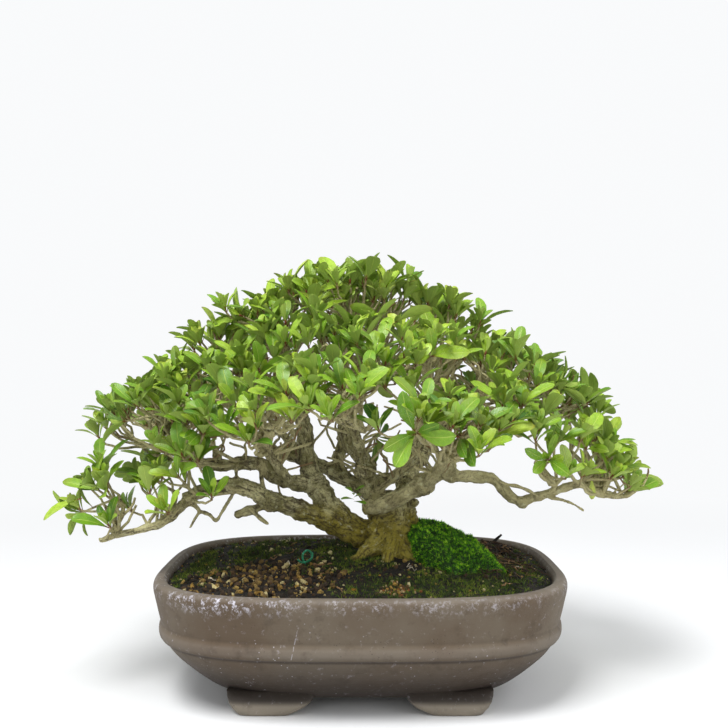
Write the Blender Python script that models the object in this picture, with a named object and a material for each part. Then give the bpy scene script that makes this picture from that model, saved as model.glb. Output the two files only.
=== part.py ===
# Satsuki azalea bonsai in its pot. Metres, +Z up, front towards -Y.
# The origin lies on the surface that the pot stands on, below the middle of the whole plant.
import math
import random

import bmesh
import bpy
from mathutils import Matrix, Quaternion, Vector
from mathutils.bvhtree import BVHTree

# Clearance between pieces that touch
GAP = 0.0003
# Faces that meet below this angle, in radians, count as one flat face
FLAT_ANGLE = 0.003
WELD_DISTANCE = 0.000002

# Pot
POT_HALF_WIDTH = 0.1510
POT_HALF_DEPTH = 0.1160
POT_HEIGHT = 0.086
POT_FLOOR_Z = 0.017
POT_BASE_Z = 0.0075
PLAN_POWER = 3.4
PLAN_SIDES = 32
# Outside of the pot: height, then half-width lost from the rim's
POT_OUTSIDE = [
    (POT_BASE_Z, 0.045),
    (0.011, 0.038),
    (0.020, 0.0275),
    (0.033, 0.0150),
    (0.0435, 0.0082),
    (0.0450, 0.0056),
    (0.0490, 0.0038),
    (0.0535, 0.0040),
    (0.0552, 0.0050),
    (0.0700, 0.0020),
    (0.0800, 0.0),
    (0.0845, 0.0008),
    (POT_HEIGHT, 0.0032),
]
# Inside of the pot, downwards: height, then half-width lost from the rim's
POT_INSIDE = [
    (POT_HEIGHT, 0.0072),
    (0.0835, 0.0092),
    (0.0560, 0.0130),
    (0.0340, 0.0235),
    (POT_FLOOR_Z, 0.0430),
]
# Feet: height, reach along the pot from its middle, swell of the outer face
FOOT_LEVELS = [(0.0, (0.047, 0.081), 0.0), (0.0045, (0.038, 0.088), 0.0015), (0.0115, (0.030, 0.092), 0.002)]
FOOT_FRONT_Y = 0.086
FOOT_DEPTH = 0.024
FOOT_CORNER = 0.002
DRAIN_X = 0.058
DRAIN_RADIUS = 0.012
DRAIN_DEPTH = 0.04
DRAIN_SIDES = 16

# Soil and moss
SOIL_EDGE_Z = 0.0805
SOIL_CROWN_Z = 0.0955
SOIL_RINGS = [0.92, 0.72, 0.46, 0.20]
# Width lost from the pot's half-width by the dome of the soil, and by the rings on it
SOIL_DOME_INSET = 0.010
SOIL_RING_INSET = 0.011
SOIL_DOME_POWER = 1.8
SOIL_RIPPLE = 0.0009
SOIL_CLEARANCE = GAP * 1.35
MOSS_CENTRE = Vector((0.0690, -0.016, 0.0885))
MOSS_SIZE = Vector((0.0335, 0.038, 0.0305))
# The cushion is flatter below its middle, and leans towards the trunk by this share of the height above it
MOSS_UNDERSIDE = 0.38
MOSS_LEAN = Vector((-0.72, 0.42, 0.0))
MOSS_ROUNDING = 1.0
MOSS_COLUMNS = 16
MOSS_ROWS = 8
SCREEN_HALF = 0.017
SCREEN_THICK = 0.0012
SCREEN_HOLE = 0.011
SCREEN_CUT_HALF = 0.003
SCREEN_PITCH = 0.0075

# Root flare and trunk: height, radius, depth of the ridges as a share of the radius, middle
FLARE_RIDGES = 5
FLARE_SIDES = 15
FLARE_CLEARANCE = 1.15
FLARE = [
    (0.055, 0.0120, 0.06, 0.0260),
    (0.080, 0.0190, 0.14, 0.0260),
    (0.0925, 0.0245, 0.22, 0.0260),
    (0.0985, 0.0218, 0.18, 0.0262),
    (0.1045, 0.0186, 0.12, 0.0266),
    (0.1110, 0.0170, 0.08, 0.0265),
    (0.1190, 0.0178, 0.06, 0.0245),
    (0.1270, 0.0180, 0.05, 0.0228),
    (0.1345, 0.0160, 0.05, 0.0215),
    (0.1405, 0.0105, 0.04, 0.0205),
]

# Limbs: first and last radius, number of sides, route from the parent outwards
LIMBS = {
    "left_trunk": (0.0105, 0.0078, 6, [
        (0.018, 0.003, 0.102), (0.004, 0.001, 0.107), (-0.009, 0.000, 0.115), (-0.021, 0.000, 0.126),
        (-0.033, 0.002, 0.143), (-0.040, 0.004, 0.155)]),
    "left_low": (0.0088, 0.0044, 6, [
        (-0.004, -0.001, 0.110), (-0.014, -0.004, 0.113), (-0.026, -0.010, 0.121), (-0.043, -0.018, 0.128),
        (-0.056, -0.024, 0.134), (-0.069, -0.030, 0.139), (-0.078, -0.034, 0.146), (-0.086, -0.036, 0.149),
        (-0.095, -0.038, 0.151), (-0.108, -0.040, 0.149), (-0.118, -0.042, 0.146), (-0.127, -0.044, 0.141)]),
    "left_low_tip": (0.0038, 0.0022, 4, [
        (-0.124, -0.043, 0.143), (-0.133, -0.046, 0.132), (-0.143, -0.046, 0.124), (-0.154, -0.046, 0.121),
        (-0.164, -0.046, 0.118), (-0.175, -0.046, 0.116), (-0.188, -0.044, 0.111)]),
    "left_up": (0.0072, 0.0034, 5, [
        (-0.038, 0.003, 0.151), (-0.042, 0.006, 0.169), (-0.043, 0.008, 0.181), (-0.047, 0.008, 0.199),
        (-0.056, 0.008, 0.215), (-0.078, 0.005, 0.230), (-0.092, 0.002, 0.238)]),
    "left_mid": (0.0066, 0.0034, 5, [
        (-0.034, 0.002, 0.146), (-0.046, -0.008, 0.148), (-0.057, -0.014, 0.151), (-0.066, -0.018, 0.156),
        (-0.075, -0.022, 0.164), (-0.088, -0.026, 0.165), (-0.105, -0.030, 0.164), (-0.118, -0.032, 0.166),
        (-0.131, -0.034, 0.172), (-0.146, -0.026, 0.181)]),
    "cross": (0.0072, 0.0036, 5, [
        (0.016, 0.006, 0.130), (0.008, 0.014, 0.138), (-0.002, 0.020, 0.143), (-0.018, 0.028, 0.150),
        (-0.032, 0.034, 0.156), (-0.049, 0.040, 0.161), (-0.063, 0.048, 0.166), (-0.076, 0.055, 0.168),
        (-0.100, 0.060, 0.182), (-0.124, 0.064, 0.194)]),
    "cross_up": (0.0050, 0.0028, 4, [
        (-0.012, 0.025, 0.148), (-0.018, 0.030, 0.160), (-0.016, 0.032, 0.170), (-0.014, 0.034, 0.179),
        (-0.015, 0.036, 0.190), (-0.006, 0.042, 0.216), (0.000, 0.050, 0.244)]),
    "centre": (0.0076, 0.0030, 5, [
        (0.018, 0.004, 0.129), (0.007, 0.002, 0.143), (0.005, 0.000, 0.153), (0.005, -0.002, 0.160),
        (0.000, -0.004, 0.168), (-0.007, -0.006, 0.175), (-0.010, -0.006, 0.184), (-0.008, -0.004, 0.194),
        (-0.012, -0.002, 0.218), (-0.014, -0.004, 0.246)]),
    "centre_left": (0.0042, 0.0026, 4, [
        (-0.046, 0.008, 0.196), (-0.051, 0.002, 0.214), (-0.058, 0.004, 0.232), (-0.062, 0.000, 0.250)]),
    "front_left": (0.0044, 0.0026, 4, [
        (-0.055, -0.013, 0.150), (-0.060, -0.032, 0.162), (-0.064, -0.052, 0.174), (-0.066, -0.070, 0.184)]),
    "front_mid": (0.0046, 0.0026, 4, [
        (0.001, -0.004, 0.166), (-0.001, -0.020, 0.176), (-0.004, -0.038, 0.190), (-0.006, -0.055, 0.204),
        (-0.004, -0.068, 0.220)]),
    "back_left": (0.0046, 0.0026, 4, [
        (-0.047, 0.040, 0.160), (-0.058, 0.058, 0.172), (-0.072, 0.076, 0.184), (-0.080, 0.088, 0.192)]),
    "back_centre": (0.0038, 0.0026, 4, [
        (-0.015, 0.036, 0.186), (-0.016, 0.054, 0.196), (-0.018, 0.072, 0.208), (-0.018, 0.086, 0.216)]),
    "right_main": (0.0112, 0.0056, 6, [
        (0.019, 0.000, 0.127), (0.016, -0.012, 0.132), (0.022, -0.018, 0.135), (0.032, -0.022, 0.141),
        (0.047, -0.026, 0.150), (0.057, -0.028, 0.158), (0.068, -0.028, 0.163)]),
    "right_low": (0.0050, 0.0018, 5, [
        (0.060, -0.028, 0.159), (0.068, -0.026, 0.156), (0.082, -0.024, 0.155), (0.098, -0.022, 0.153),
        (0.106, -0.022, 0.146), (0.113, -0.024, 0.139), (0.120, -0.026, 0.137), (0.129, -0.028, 0.140),
        (0.139, -0.028, 0.143), (0.148, -0.028, 0.146), (0.162, -0.028, 0.150), (0.172, -0.026, 0.145),
        (0.181, -0.024, 0.141), (0.196, -0.022, 0.140), (0.207, -0.020, 0.144)]),
    "right_up": (0.0052, 0.0026, 4, [
        (0.064, -0.028, 0.161), (0.072, -0.022, 0.176), (0.088, -0.014, 0.191), (0.106, -0.010, 0.204),
        (0.128, -0.008, 0.210), (0.146, -0.004, 0.204)]),
    "right_front": (0.0044, 0.0026, 4, [
        (0.046, -0.026, 0.149), (0.053, -0.046, 0.158), (0.058, -0.064, 0.168), (0.060, -0.076, 0.178)]),
    "centre_right": (0.0052, 0.0026, 4, [
        (0.018, 0.002, 0.132), (0.014, -0.003, 0.149), (0.024, -0.002, 0.151), (0.031, 0.000, 0.158),
        (0.041, 0.002, 0.166), (0.044, 0.004, 0.188), (0.051, 0.002, 0.212), (0.054, 0.002, 0.236)]),
    "right_back": (0.0072, 0.0030, 5, [
        (0.021, 0.006, 0.124), (0.031, 0.014, 0.135), (0.036, 0.024, 0.142), (0.041, 0.034, 0.152),
        (0.049, 0.042, 0.160), (0.056, 0.050, 0.172), (0.062, 0.056, 0.186), (0.078, 0.058, 0.202),
        (0.094, 0.058, 0.216)]),
    "back_right": (0.0042, 0.0026, 4, [
        (0.055, 0.049, 0.171), (0.062, 0.066, 0.180), (0.069, 0.082, 0.188), (0.072, 0.092, 0.196)]),
}
LIMB_STEP = 0.019
LIMB_RISE = 0.012
LIMB_RISE_COST = 3.0

# Shoots: the limb that bears each, and the middle of its leaves
SHOOTS = [
    ("left_low_tip", (-0.192, -0.050, 0.148)),
    ("left_low_tip", (-0.161, -0.020, 0.154)),
    ("left_low", (-0.129, -0.070, 0.160)),
    ("left_mid", (-0.191, -0.010, 0.202)),
    ("left_mid", (-0.154, -0.045, 0.216)),
    ("left_mid", (-0.122, -0.072, 0.197)),
    ("left_mid", (-0.160, 0.022, 0.222)),
    ("left_up", (-0.123, -0.028, 0.236)),
    ("left_up", (-0.118, 0.010, 0.259)),
    ("left_up", (-0.086, -0.055, 0.244)),
    ("left_up", (-0.096, 0.048, 0.255)),
    ("front_left", (-0.084, -0.094, 0.211)),
    ("cross", (-0.177, 0.062, 0.206)),
    ("cross", (-0.140, 0.086, 0.226)),
    ("back_left", (-0.104, 0.112, 0.209)),
    ("centre_left", (-0.076, 0.002, 0.284)),
    ("centre_left", (-0.054, -0.048, 0.267)),
    ("centre_left", (-0.056, 0.046, 0.281)),
    ("centre", (-0.042, -0.004, 0.293)),
    ("centre", (-0.008, -0.012, 0.301)),
    ("centre", (0.024, 0.000, 0.299)),
    ("front_mid", (-0.018, -0.066, 0.261)),
    ("cross_up", (-0.017, 0.050, 0.291)),
    ("cross_up", (0.022, 0.068, 0.276)),
    ("front_left", (-0.048, -0.118, 0.221)),
    ("front_mid", (-0.011, -0.124, 0.224)),
    ("front_mid", (0.014, -0.086, 0.250)),
    ("centre_right", (0.056, 0.006, 0.283)),
    ("centre_right", (0.079, 0.030, 0.267)),
    ("centre_right", (0.050, -0.048, 0.256)),
    ("right_up", (0.096, -0.008, 0.246)),
    ("right_up", (0.132, -0.018, 0.238)),
    ("right_up", (0.166, 0.002, 0.217)),
    ("right_up", (0.114, -0.060, 0.214)),
    ("right_front", (0.040, -0.114, 0.212)),
    ("right_front", (0.082, -0.096, 0.199)),
    ("right_low", (0.142, -0.064, 0.185)),
    ("right_low", (0.182, -0.026, 0.177)),
    ("right_low", (0.198, -0.018, 0.158)),
    ("right_low", (0.184, 0.036, 0.188)),
    ("right_back", (0.106, 0.062, 0.250)),
    ("right_back", (0.148, 0.056, 0.222)),
    ("back_right", (0.104, 0.106, 0.207)),
    ("back_right", (0.058, 0.104, 0.233)),
    ("back_centre", (0.010, 0.114, 0.238)),
    ("back_centre", (-0.044, 0.110, 0.234)),
]
CROWN_CENTRE = Vector((0.0, 0.0, 0.165))
CROWN_SIZE = Vector((0.235, 0.135, 0.150))
CROWN_LIFT = 0.70
SHOOT_BACK = 0.026
BRANCHLET_RADII = (0.0026, 0.0017)
BRANCHLET_SIDES = 3
BRANCHLET_STEP = 0.026
STEM_RADII = (0.0017, 0.0013, 0.0017)
STEM_LENGTH = 0.009
MAIN_LENGTH = (0.013, 0.017)
TWIG_LENGTH = (0.019, 0.025)
TWIG_LEAN = (52.0, 68.0)
TWIG_RADII = (0.0011, 0.0016)
BUD_LENGTH = 0.0042
TWIG_SIDES = 3
TWIG_BACK = 0.0004
LEAVES_PER_WHORL = 3
LEAF_LENGTH = (0.028, 0.037)
LEAF_LEAN = (48.0, 74.0)
LOW_LEAF_LEAN = (70.0, 84.0)
LOW_LEAF_SHARE = 0.75
LOW_LEAF_DOWN = (0.006, 0.009)
LEAF_HALF_WIDTH = 0.20
LEAF_KEEL = 0.0009
LEAF_ROOT_HALF = 0.0004
LEAF_ROOT_DEPTH = 0.0020
LEAF_TURN_SPREAD = 9.0
# Cross-sections of a leaf: share of its length, share of its half-width, rise as a share of its length
LEAF_SECTIONS = [(0.36, 0.66, 0.05), (0.70, 1.0, 0.055)]
# Extra size of a leaf or twig while its clearance is tested, and how far pieces are looked for
GUARD = 0.0005
GUARD_SIDES = 5
NEARBY = 0.075
# Ways in which a leaf gives way, as lift towards its twig and swing round it in degrees, then its lengths
LEAF_BENDS = [(0, 0), (12, 0), (0, 16), (0, -16), (22, 10), (22, -10), (-12, 0), (34, 0), (10, 28), (10, -28)]
LEAF_SHARES = (1.0, 0.86)
TWIG_SHARES = (1.0, 0.7, 0.45)
TWIG_LEANS = (0, 14, -12, 26)
TWIG_SWINGS = (0, 15, -15, 32, -32, 55, -55, 85, -85, 120, -120, 170)
SEED = 41

# Green wire loop: radius of the wire and its route from below the soil
WIRE_RADIUS = 0.0009
WIRE_SIDES = 5
WIRE_STEP = 0.005
WIRE_ROUTE = [
    (-0.0400, -0.0390, 0.0810), (-0.0400, -0.0390, 0.0915), (-0.0420, -0.0390, 0.0965), (-0.0418, -0.0388, 0.1005),
    (-0.0388, -0.0386, 0.1030), (-0.0358, -0.0388, 0.1010), (-0.0355, -0.0396, 0.0975), (-0.0385, -0.0412, 0.0955),
    (-0.0425, -0.0424, 0.0950), (-0.0455, -0.0428, 0.0972)]


def clear_scene():
    for item in list(bpy.data.objects):
        bpy.data.objects.remove(item)


def material(name, colour, roughness):
    found = bpy.data.materials.get(name)
    if found:
        return found
    made = bpy.data.materials.new(name)
    made.use_nodes = True
    shader = made.node_tree.nodes["Principled BSDF"]
    shader.inputs["Base Color"].default_value = (*colour, 1.0)
    shader.inputs["Roughness"].default_value = roughness
    return made


def object_from(name, bm, finish=None, split=False):
    # Split shapes have four-sided faces cut along like diagonals, so that a hole fits the piece in it
    bmesh.ops.recalc_face_normals(bm, faces=bm.faces)
    if split:
        bmesh.ops.triangulate(bm, faces=bm.faces, quad_method="FIXED")
    mesh = bpy.data.meshes.new(name)
    bm.to_mesh(mesh)
    bm.free()
    made = bpy.data.objects.new(name, mesh)
    bpy.context.scene.collection.objects.link(made)
    if finish:
        mesh.materials.append(finish)
    return made


def plan_point(angle, half_width, half_depth):
    # A point of the pot's plan, a rounded rectangle
    c = math.cos(angle)
    s = math.sin(angle)
    x = math.copysign(abs(c) ** (2.0 / PLAN_POWER), c) * half_width
    y = math.copysign(abs(s) ** (2.0 / PLAN_POWER), s) * half_depth
    return x, y


def plan_ring(bm, z, inset, height_at=None):
    ring = []
    for i in range(PLAN_SIDES):
        angle = 2.0 * math.pi * (i + 0.5) / PLAN_SIDES
        x, y = plan_point(angle, POT_HALF_WIDTH - inset, POT_HALF_DEPTH - inset)
        ring.append(bm.verts.new((x, y, height_at(x, y) if height_at else z)))
    return ring


def bridge(bm, rings):
    for low, high in zip(rings, rings[1:]):
        count = len(low)
        for i in range(count):
            j = (i + 1) % count
            bm.faces.new((low[i], low[j], high[j], high[i]))


def add_modifier(target, name, operation, other, solver):
    change = target.modifiers.new(name, "BOOLEAN")
    change.operation = operation
    change.solver = solver
    if isinstance(other, bpy.types.Collection):
        change.operand_type = "COLLECTION"
        change.collection = other
    else:
        change.object = other
    return change


def apply_modifiers(target):
    view = bpy.context.evaluated_depsgraph_get()
    result = bpy.data.meshes.new_from_object(target.evaluated_get(view))
    target.modifiers.clear()
    target.data = result


def keep_whole_body(target):
    # Closes hairline steps, and keeps the outer body without scraps or sealed hollows
    bm = bmesh.new()
    bm.from_mesh(target.data)
    bmesh.ops.remove_doubles(bm, verts=bm.verts, dist=WELD_DISTANCE)
    bmesh.ops.dissolve_degenerate(bm, edges=bm.edges, dist=WELD_DISTANCE)
    bmesh.ops.dissolve_limit(bm, angle_limit=FLAT_ANGLE, verts=bm.verts, edges=bm.edges)
    bmesh.ops.triangulate(bm, faces=bm.faces)
    left = set(bm.faces)
    groups = []
    while left:
        start = left.pop()
        group = {start}
        front = [start]
        while front:
            face = front.pop()
            for edge in face.edges:
                for other in edge.link_faces:
                    if other in left:
                        left.remove(other)
                        group.add(other)
                        front.append(other)
        groups.append(group)
    groups.sort(key=len)
    loose = [face for group in groups[:-1] for face in group]
    bmesh.ops.delete(bm, geom=loose, context="FACES")
    bmesh.ops.delete(bm, geom=[vert for vert in bm.verts if not vert.link_faces], context="VERTS")
    bm.to_mesh(target.data)
    bm.free()


def cut(target, cutter, solver="EXACT"):
    add_modifier(target, "cut", "DIFFERENCE", cutter, solver)
    apply_modifiers(target)
    keep_whole_body(target)
    bpy.data.objects.remove(cutter)


def fuse(base, others, solver="EXACT"):
    # One union of the base with a collection that holds all that grows from it
    group = bpy.data.collections.new("fused")
    bpy.context.scene.collection.children.link(group)
    for item in others:
        bpy.context.scene.collection.objects.unlink(item)
        group.objects.link(item)
    add_modifier(base, "fuse", "UNION", group, solver)
    apply_modifiers(base)
    for item in others:
        bpy.data.objects.remove(item)
    bpy.data.collections.remove(group)
    keep_whole_body(base)


def smooth_route(points, step):
    # Points at about one spacing along a curve that passes through the given ones
    points = [Vector(p) for p in points]
    padded = [points[0] * 2 - points[1]] + points + [points[-1] * 2 - points[-2]]
    route = [points[0]]
    for a, b, c, d in zip(padded, padded[1:], padded[2:], padded[3:]):
        count = max(1, round((c - b).length / step))
        for i in range(1, count + 1):
            t = i / count
            route.append(0.5 * (2 * b + (c - a) * t + (2 * a - 5 * b + 4 * c - d) * t ** 2
                                + (3 * b - a - 3 * c + d) * t ** 3))
    return route


def tube(name, points, radii, sides, finish=None, point_length=0.0, end_along=None, corner=None):
    # A closed tapered tube. The last ring faces along end_along, or a point closes it.
    # The first corner of each ring lies towards the corner direction.
    bm = bmesh.new()
    frame = None
    before = None
    rings = []
    for i, point in enumerate(points):
        ahead = points[min(i + 1, len(points) - 1)] - points[max(i - 1, 0)]
        ahead.normalize()
        if i == len(points) - 1 and end_along:
            ahead = end_along.normalized()
        if frame is None:
            frame = corner.normalized() if corner else ahead.orthogonal().normalized()
        else:
            frame = (before.rotation_difference(ahead) @ frame).normalized()
        before = ahead
        other = ahead.cross(frame)
        ring = []
        for k in range(sides):
            turn = 2.0 * math.pi * k / sides
            offset = (frame * math.cos(turn) + other * math.sin(turn)) * radii[i]
            ring.append(bm.verts.new(point + offset))
        rings.append(ring)
    bridge(bm, rings)
    bm.faces.new(rings[0])
    if point_length:
        tip = bm.verts.new(points[-1] + before * point_length)
        for k in range(sides):
            bm.faces.new((rings[-1][k], rings[-1][(k + 1) % sides], tip))
    else:
        bm.faces.new(rings[-1])
    return object_from(name, bm, finish)


def even_radii(first, last, count):
    return [first + (last - first) * i / (count - 1) for i in range(count)]


def pot_shell():
    bm = bmesh.new()
    rings = [plan_ring(bm, z, inset) for z, inset in POT_OUTSIDE + POT_INSIDE]
    bridge(bm, rings)
    bm.faces.new(rings[0])
    bm.faces.new(rings[-1])
    return object_from("pot", bm, material("pot_clay", (0.20, 0.165, 0.14), 0.75), split=True)


def foot(side, end):
    # A low foot below the front or back edge, narrower where it meets the surface
    bm = bmesh.new()
    y_in = side * (FOOT_FRONT_Y - FOOT_DEPTH)
    rings = []
    for z, (near_x, far_x), swell in FOOT_LEVELS:
        y_out = side * (FOOT_FRONT_Y + swell)
        corners = [(end * near_x, y_in), (end * far_x, y_in), (end * (far_x - FOOT_CORNER), y_out),
                   (end * (near_x + FOOT_CORNER), y_out)]
        rings.append([bm.verts.new((x, y, z)) for x, y in corners])
    bridge(bm, rings)
    bm.faces.new(rings[0])
    bm.faces.new(rings[-1])
    return object_from("foot", bm)


def drain_cutter(end):
    bm = bmesh.new()
    place = Matrix.Translation((end * DRAIN_X, 0.0, POT_FLOOR_Z))
    bmesh.ops.create_cone(bm, cap_ends=True, segments=DRAIN_SIDES, radius1=DRAIN_RADIUS, radius2=DRAIN_RADIUS,
                          depth=DRAIN_DEPTH, matrix=place)
    return object_from("drain", bm)


def make_pot():
    pot = pot_shell()
    fuse(pot, [foot(side, end) for side in (-1, 1) for end in (-1, 1)])
    for end in (-1, 1):
        cut(pot, drain_cutter(end))
    return pot


def box(name, centre, half):
    bm = bmesh.new()
    scale = Matrix.Diagonal((half[0] * 2, half[1] * 2, half[2] * 2, 1.0))
    bmesh.ops.create_cube(bm, size=1.0, matrix=Matrix.Translation(centre) @ scale)
    return object_from(name, bm)


def screen_centre(end):
    return Vector((end * DRAIN_X, 0.0, POT_FLOOR_Z + GAP + SCREEN_THICK / 2))


def make_screen(end):
    name = "drain_screen_1" if end < 0 else "drain_screen_2"
    screen = box(name, screen_centre(end), (SCREEN_HALF, SCREEN_HALF, SCREEN_THICK / 2))
    for column in (-1, 1):
        for row in (-1, 1):
            centre = screen_centre(end) + Vector((column * SCREEN_PITCH, row * SCREEN_PITCH, 0.0))
            cut(screen, box("mesh_hole", centre, (SCREEN_HOLE / 2, SCREEN_HOLE / 2, SCREEN_CUT_HALF)))
    screen.data.materials.clear()
    screen.data.materials.append(material("screen_plastic", (0.02, 0.02, 0.02), 0.6))
    return screen


def soil_height(x, y):
    # Domed between the walls, with low waves
    across = abs(x / (POT_HALF_WIDTH - SOIL_DOME_INSET)) ** PLAN_POWER
    along = abs(y / (POT_HALF_DEPTH - SOIL_DOME_INSET)) ** PLAN_POWER
    share = min(1.0, (across + along) ** (1.0 / PLAN_POWER))
    dome = SOIL_EDGE_Z + (SOIL_CROWN_Z - SOIL_EDGE_Z) * (1.0 - share ** SOIL_DOME_POWER)
    ripple = math.sin(x * 260.0 + 1.3) * math.sin(y * 230.0 + 0.4) + 0.6 * math.sin(x * 510.0 - y * 430.0)
    return dome + SOIL_RIPPLE * ripple * (1.0 - share ** 6)


def flare_shape(name, grow):
    bm = bmesh.new()
    rings = []
    for z, radius, ridge, middle in FLARE:
        level = z
        if z == FLARE[0][0]:
            level -= grow
        if z == FLARE[-1][0]:
            level += grow
        ring = []
        for i in range(FLARE_SIDES):
            turn = 2.0 * math.pi * i / FLARE_SIDES
            swell = 1.0 + ridge * math.cos(FLARE_RIDGES * turn + 0.9) + 0.4 * ridge * math.cos(2 * turn)
            reach = radius * swell + grow * FLARE_CLEARANCE
            ring.append(bm.verts.new((middle + reach * math.cos(turn), reach * math.sin(turn), level)))
        rings.append(ring)
    bridge(bm, rings)
    bm.faces.new(rings[0])
    bm.faces.new(rings[-1])
    return object_from(name, bm, split=True)


def moss_shape(name, grow):
    # A cushion: rows from the top down to its rounded underside
    bm = bmesh.new()
    rings = []
    for r in range(1, MOSS_ROWS):
        down = math.pi * r / MOSS_ROWS
        ring = []
        for c in range(MOSS_COLUMNS):
            turn = 2.0 * math.pi * c / MOSS_COLUMNS
            lumps = 1.0 + 0.05 * math.sin(3 * turn + 0.7) + 0.03 * math.sin(7 * turn + r * 2.1)
            reach = math.sin(down) ** MOSS_ROUNDING * lumps
            fall = math.cos(down)
            if fall < 0:
                fall *= MOSS_UNDERSIDE
            x = (MOSS_SIZE.x * reach + grow) * math.cos(turn)
            y = (MOSS_SIZE.y * reach + grow) * math.sin(turn)
            ring.append(bm.verts.new(MOSS_CENTRE + Vector((x, y, (MOSS_SIZE.z + grow) * fall))))
        rings.append(ring)
    bridge(bm, rings)
    top = bm.verts.new(MOSS_CENTRE + Vector((0, 0, MOSS_SIZE.z + grow)))
    base = bm.verts.new(MOSS_CENTRE - Vector((0, 0, (MOSS_SIZE.z + grow) * MOSS_UNDERSIDE)))
    for c in range(MOSS_COLUMNS):
        d = (c + 1) % MOSS_COLUMNS
        bm.faces.new((rings[0][c], rings[0][d], top))
        bm.faces.new((rings[-1][d], rings[-1][c], base))
    # The cushion's highest part leans towards the trunk
    for vert in bm.verts:
        vert.co += MOSS_LEAN * max(0.0, vert.co.z - MOSS_CENTRE.z)
    return object_from(name, bm, material("moss_green", (0.10, 0.28, 0.02), 0.95), split=True)


def wire_shape(name, grow, finish=None):
    route = smooth_route(WIRE_ROUTE, WIRE_STEP)
    route[0] = route[0] - Vector((0, 0, grow))
    return tube(name, route, [WIRE_RADIUS + grow] * len(route), WIRE_SIDES, finish)


def make_soil():
    bm = bmesh.new()
    under = [(z, inset) for z, inset in POT_INSIDE if z < SOIL_EDGE_Z]
    over = [(z, inset) for z, inset in POT_INSIDE if z > SOIL_EDGE_Z][-1]
    rings = []
    for z, inset in reversed(under):
        lift = SOIL_CLEARANCE if z == POT_FLOOR_Z else 0.0
        rings.append(plan_ring(bm, z + lift, inset + SOIL_CLEARANCE))
    share = (over[0] - SOIL_EDGE_Z) / (over[0] - under[0][0])
    top_inset = over[1] + (under[0][1] - over[1]) * share
    rings.append(plan_ring(bm, SOIL_EDGE_Z, top_inset + SOIL_CLEARANCE))
    for share in SOIL_RINGS:
        ring = []
        for i in range(PLAN_SIDES):
            angle = 2.0 * math.pi * (i + 0.5) / PLAN_SIDES
            x, y = plan_point(angle, (POT_HALF_WIDTH - SOIL_RING_INSET) * share,
                              (POT_HALF_DEPTH - SOIL_RING_INSET) * share)
            ring.append(bm.verts.new((x, y, soil_height(x, y))))
        rings.append(ring)
    bridge(bm, rings)
    bm.faces.new(rings[0])
    crown = bm.verts.new((0.0, 0.0, soil_height(0.0, 0.0)))
    for i in range(PLAN_SIDES):
        bm.faces.new((rings[-1][i], rings[-1][(i + 1) % PLAN_SIDES], crown))
    soil = object_from("soil", bm, material("soil_grains", (0.03, 0.02, 0.012), 0.95), split=True)
    cut(soil, flare_shape("root_hole", GAP))
    cut(soil, moss_shape("moss_hole", GAP))
    cut(soil, wire_shape("wire_hole", GAP))
    for end in (-1, 1):
        room = SCREEN_HALF + GAP
        cut(soil, box("screen_room", screen_centre(end), (room, room, SCREEN_THICK / 2 + GAP)))
    return soil


def make_moss():
    moss = moss_shape("moss_mound", 0.0)
    cut(moss, flare_shape("root_side", GAP))
    return moss


def crown_outward(point):
    # Direction in which a shoot at this place of the crown points
    away = point - CROWN_CENTRE
    away = Vector((away.x / CROWN_SIZE.x ** 2, away.y / CROWN_SIZE.y ** 2, away.z / CROWN_SIZE.z ** 2))
    away.normalize()
    return (away + Vector((0, 0, CROWN_LIFT))).normalized()


def limb_routes():
    return {name: smooth_route(points, LIMB_STEP) for name, (_, _, _, points) in LIMBS.items()}


def branchlet_start(route, goal):
    # The place on the limb from which a branchlet rises most directly, and the limb's direction there
    best = None
    for i in range(1, len(route)):
        place = route[i]
        rise = goal.z - place.z
        cost = (goal - place).length + max(0.0, LIMB_RISE - rise) * LIMB_RISE_COST
        if best is None or cost < best[0]:
            best = (cost, place, (route[i] - route[i - 1]).normalized())
    return best[1], best[2]


def branchlet_route(start, along, goal, outward, rng):
    span = (goal - start).length
    side = outward.cross(along)
    if side.length < 0.1:
        side = outward.orthogonal()
    side.normalize()
    bow = side * rng.uniform(-0.16, 0.16) * span
    kink = side * rng.uniform(-0.08, 0.08) * span
    first = start + (along * 0.20 + (goal - start).normalized() * 0.16) * span + bow * 0.5
    second = start.lerp(goal, 0.62) - outward * 0.03 * span + bow + kink
    return smooth_route([start, first, second, goal], BRANCHLET_STEP)


def shoot_frames():
    # For each shoot: the limb, the branchlet's end, the direction there and the shoot's own seed
    frames = []
    for index, (limb, centre) in enumerate(SHOOTS):
        middle = Vector(centre)
        outward = crown_outward(middle)
        frames.append((limb, middle - outward * SHOOT_BACK, outward, SEED * 100 + index))
    return frames


def make_wood():
    wood = flare_shape("wood", 0.0)
    wood.data.materials.append(material("bark", (0.30, 0.25, 0.18), 0.9))
    routes = limb_routes()
    parts = []
    for name, (first, last, sides, _) in LIMBS.items():
        route = routes[name]
        parts.append(tube(name, route, even_radii(first, last, len(route)), sides))
    for limb, goal, outward, seed in shoot_frames():
        rng = random.Random(seed)
        start, along = branchlet_start(routes[limb], goal)
        route = branchlet_route(start, along, goal, outward, rng)
        radii = even_radii(*BRANCHLET_RADII, len(route))
        parts.append(tube("branchlet", route, radii, BRANCHLET_SIDES, end_along=outward))
    fuse(wood, parts, "MANIFOLD")
    return wood


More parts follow.
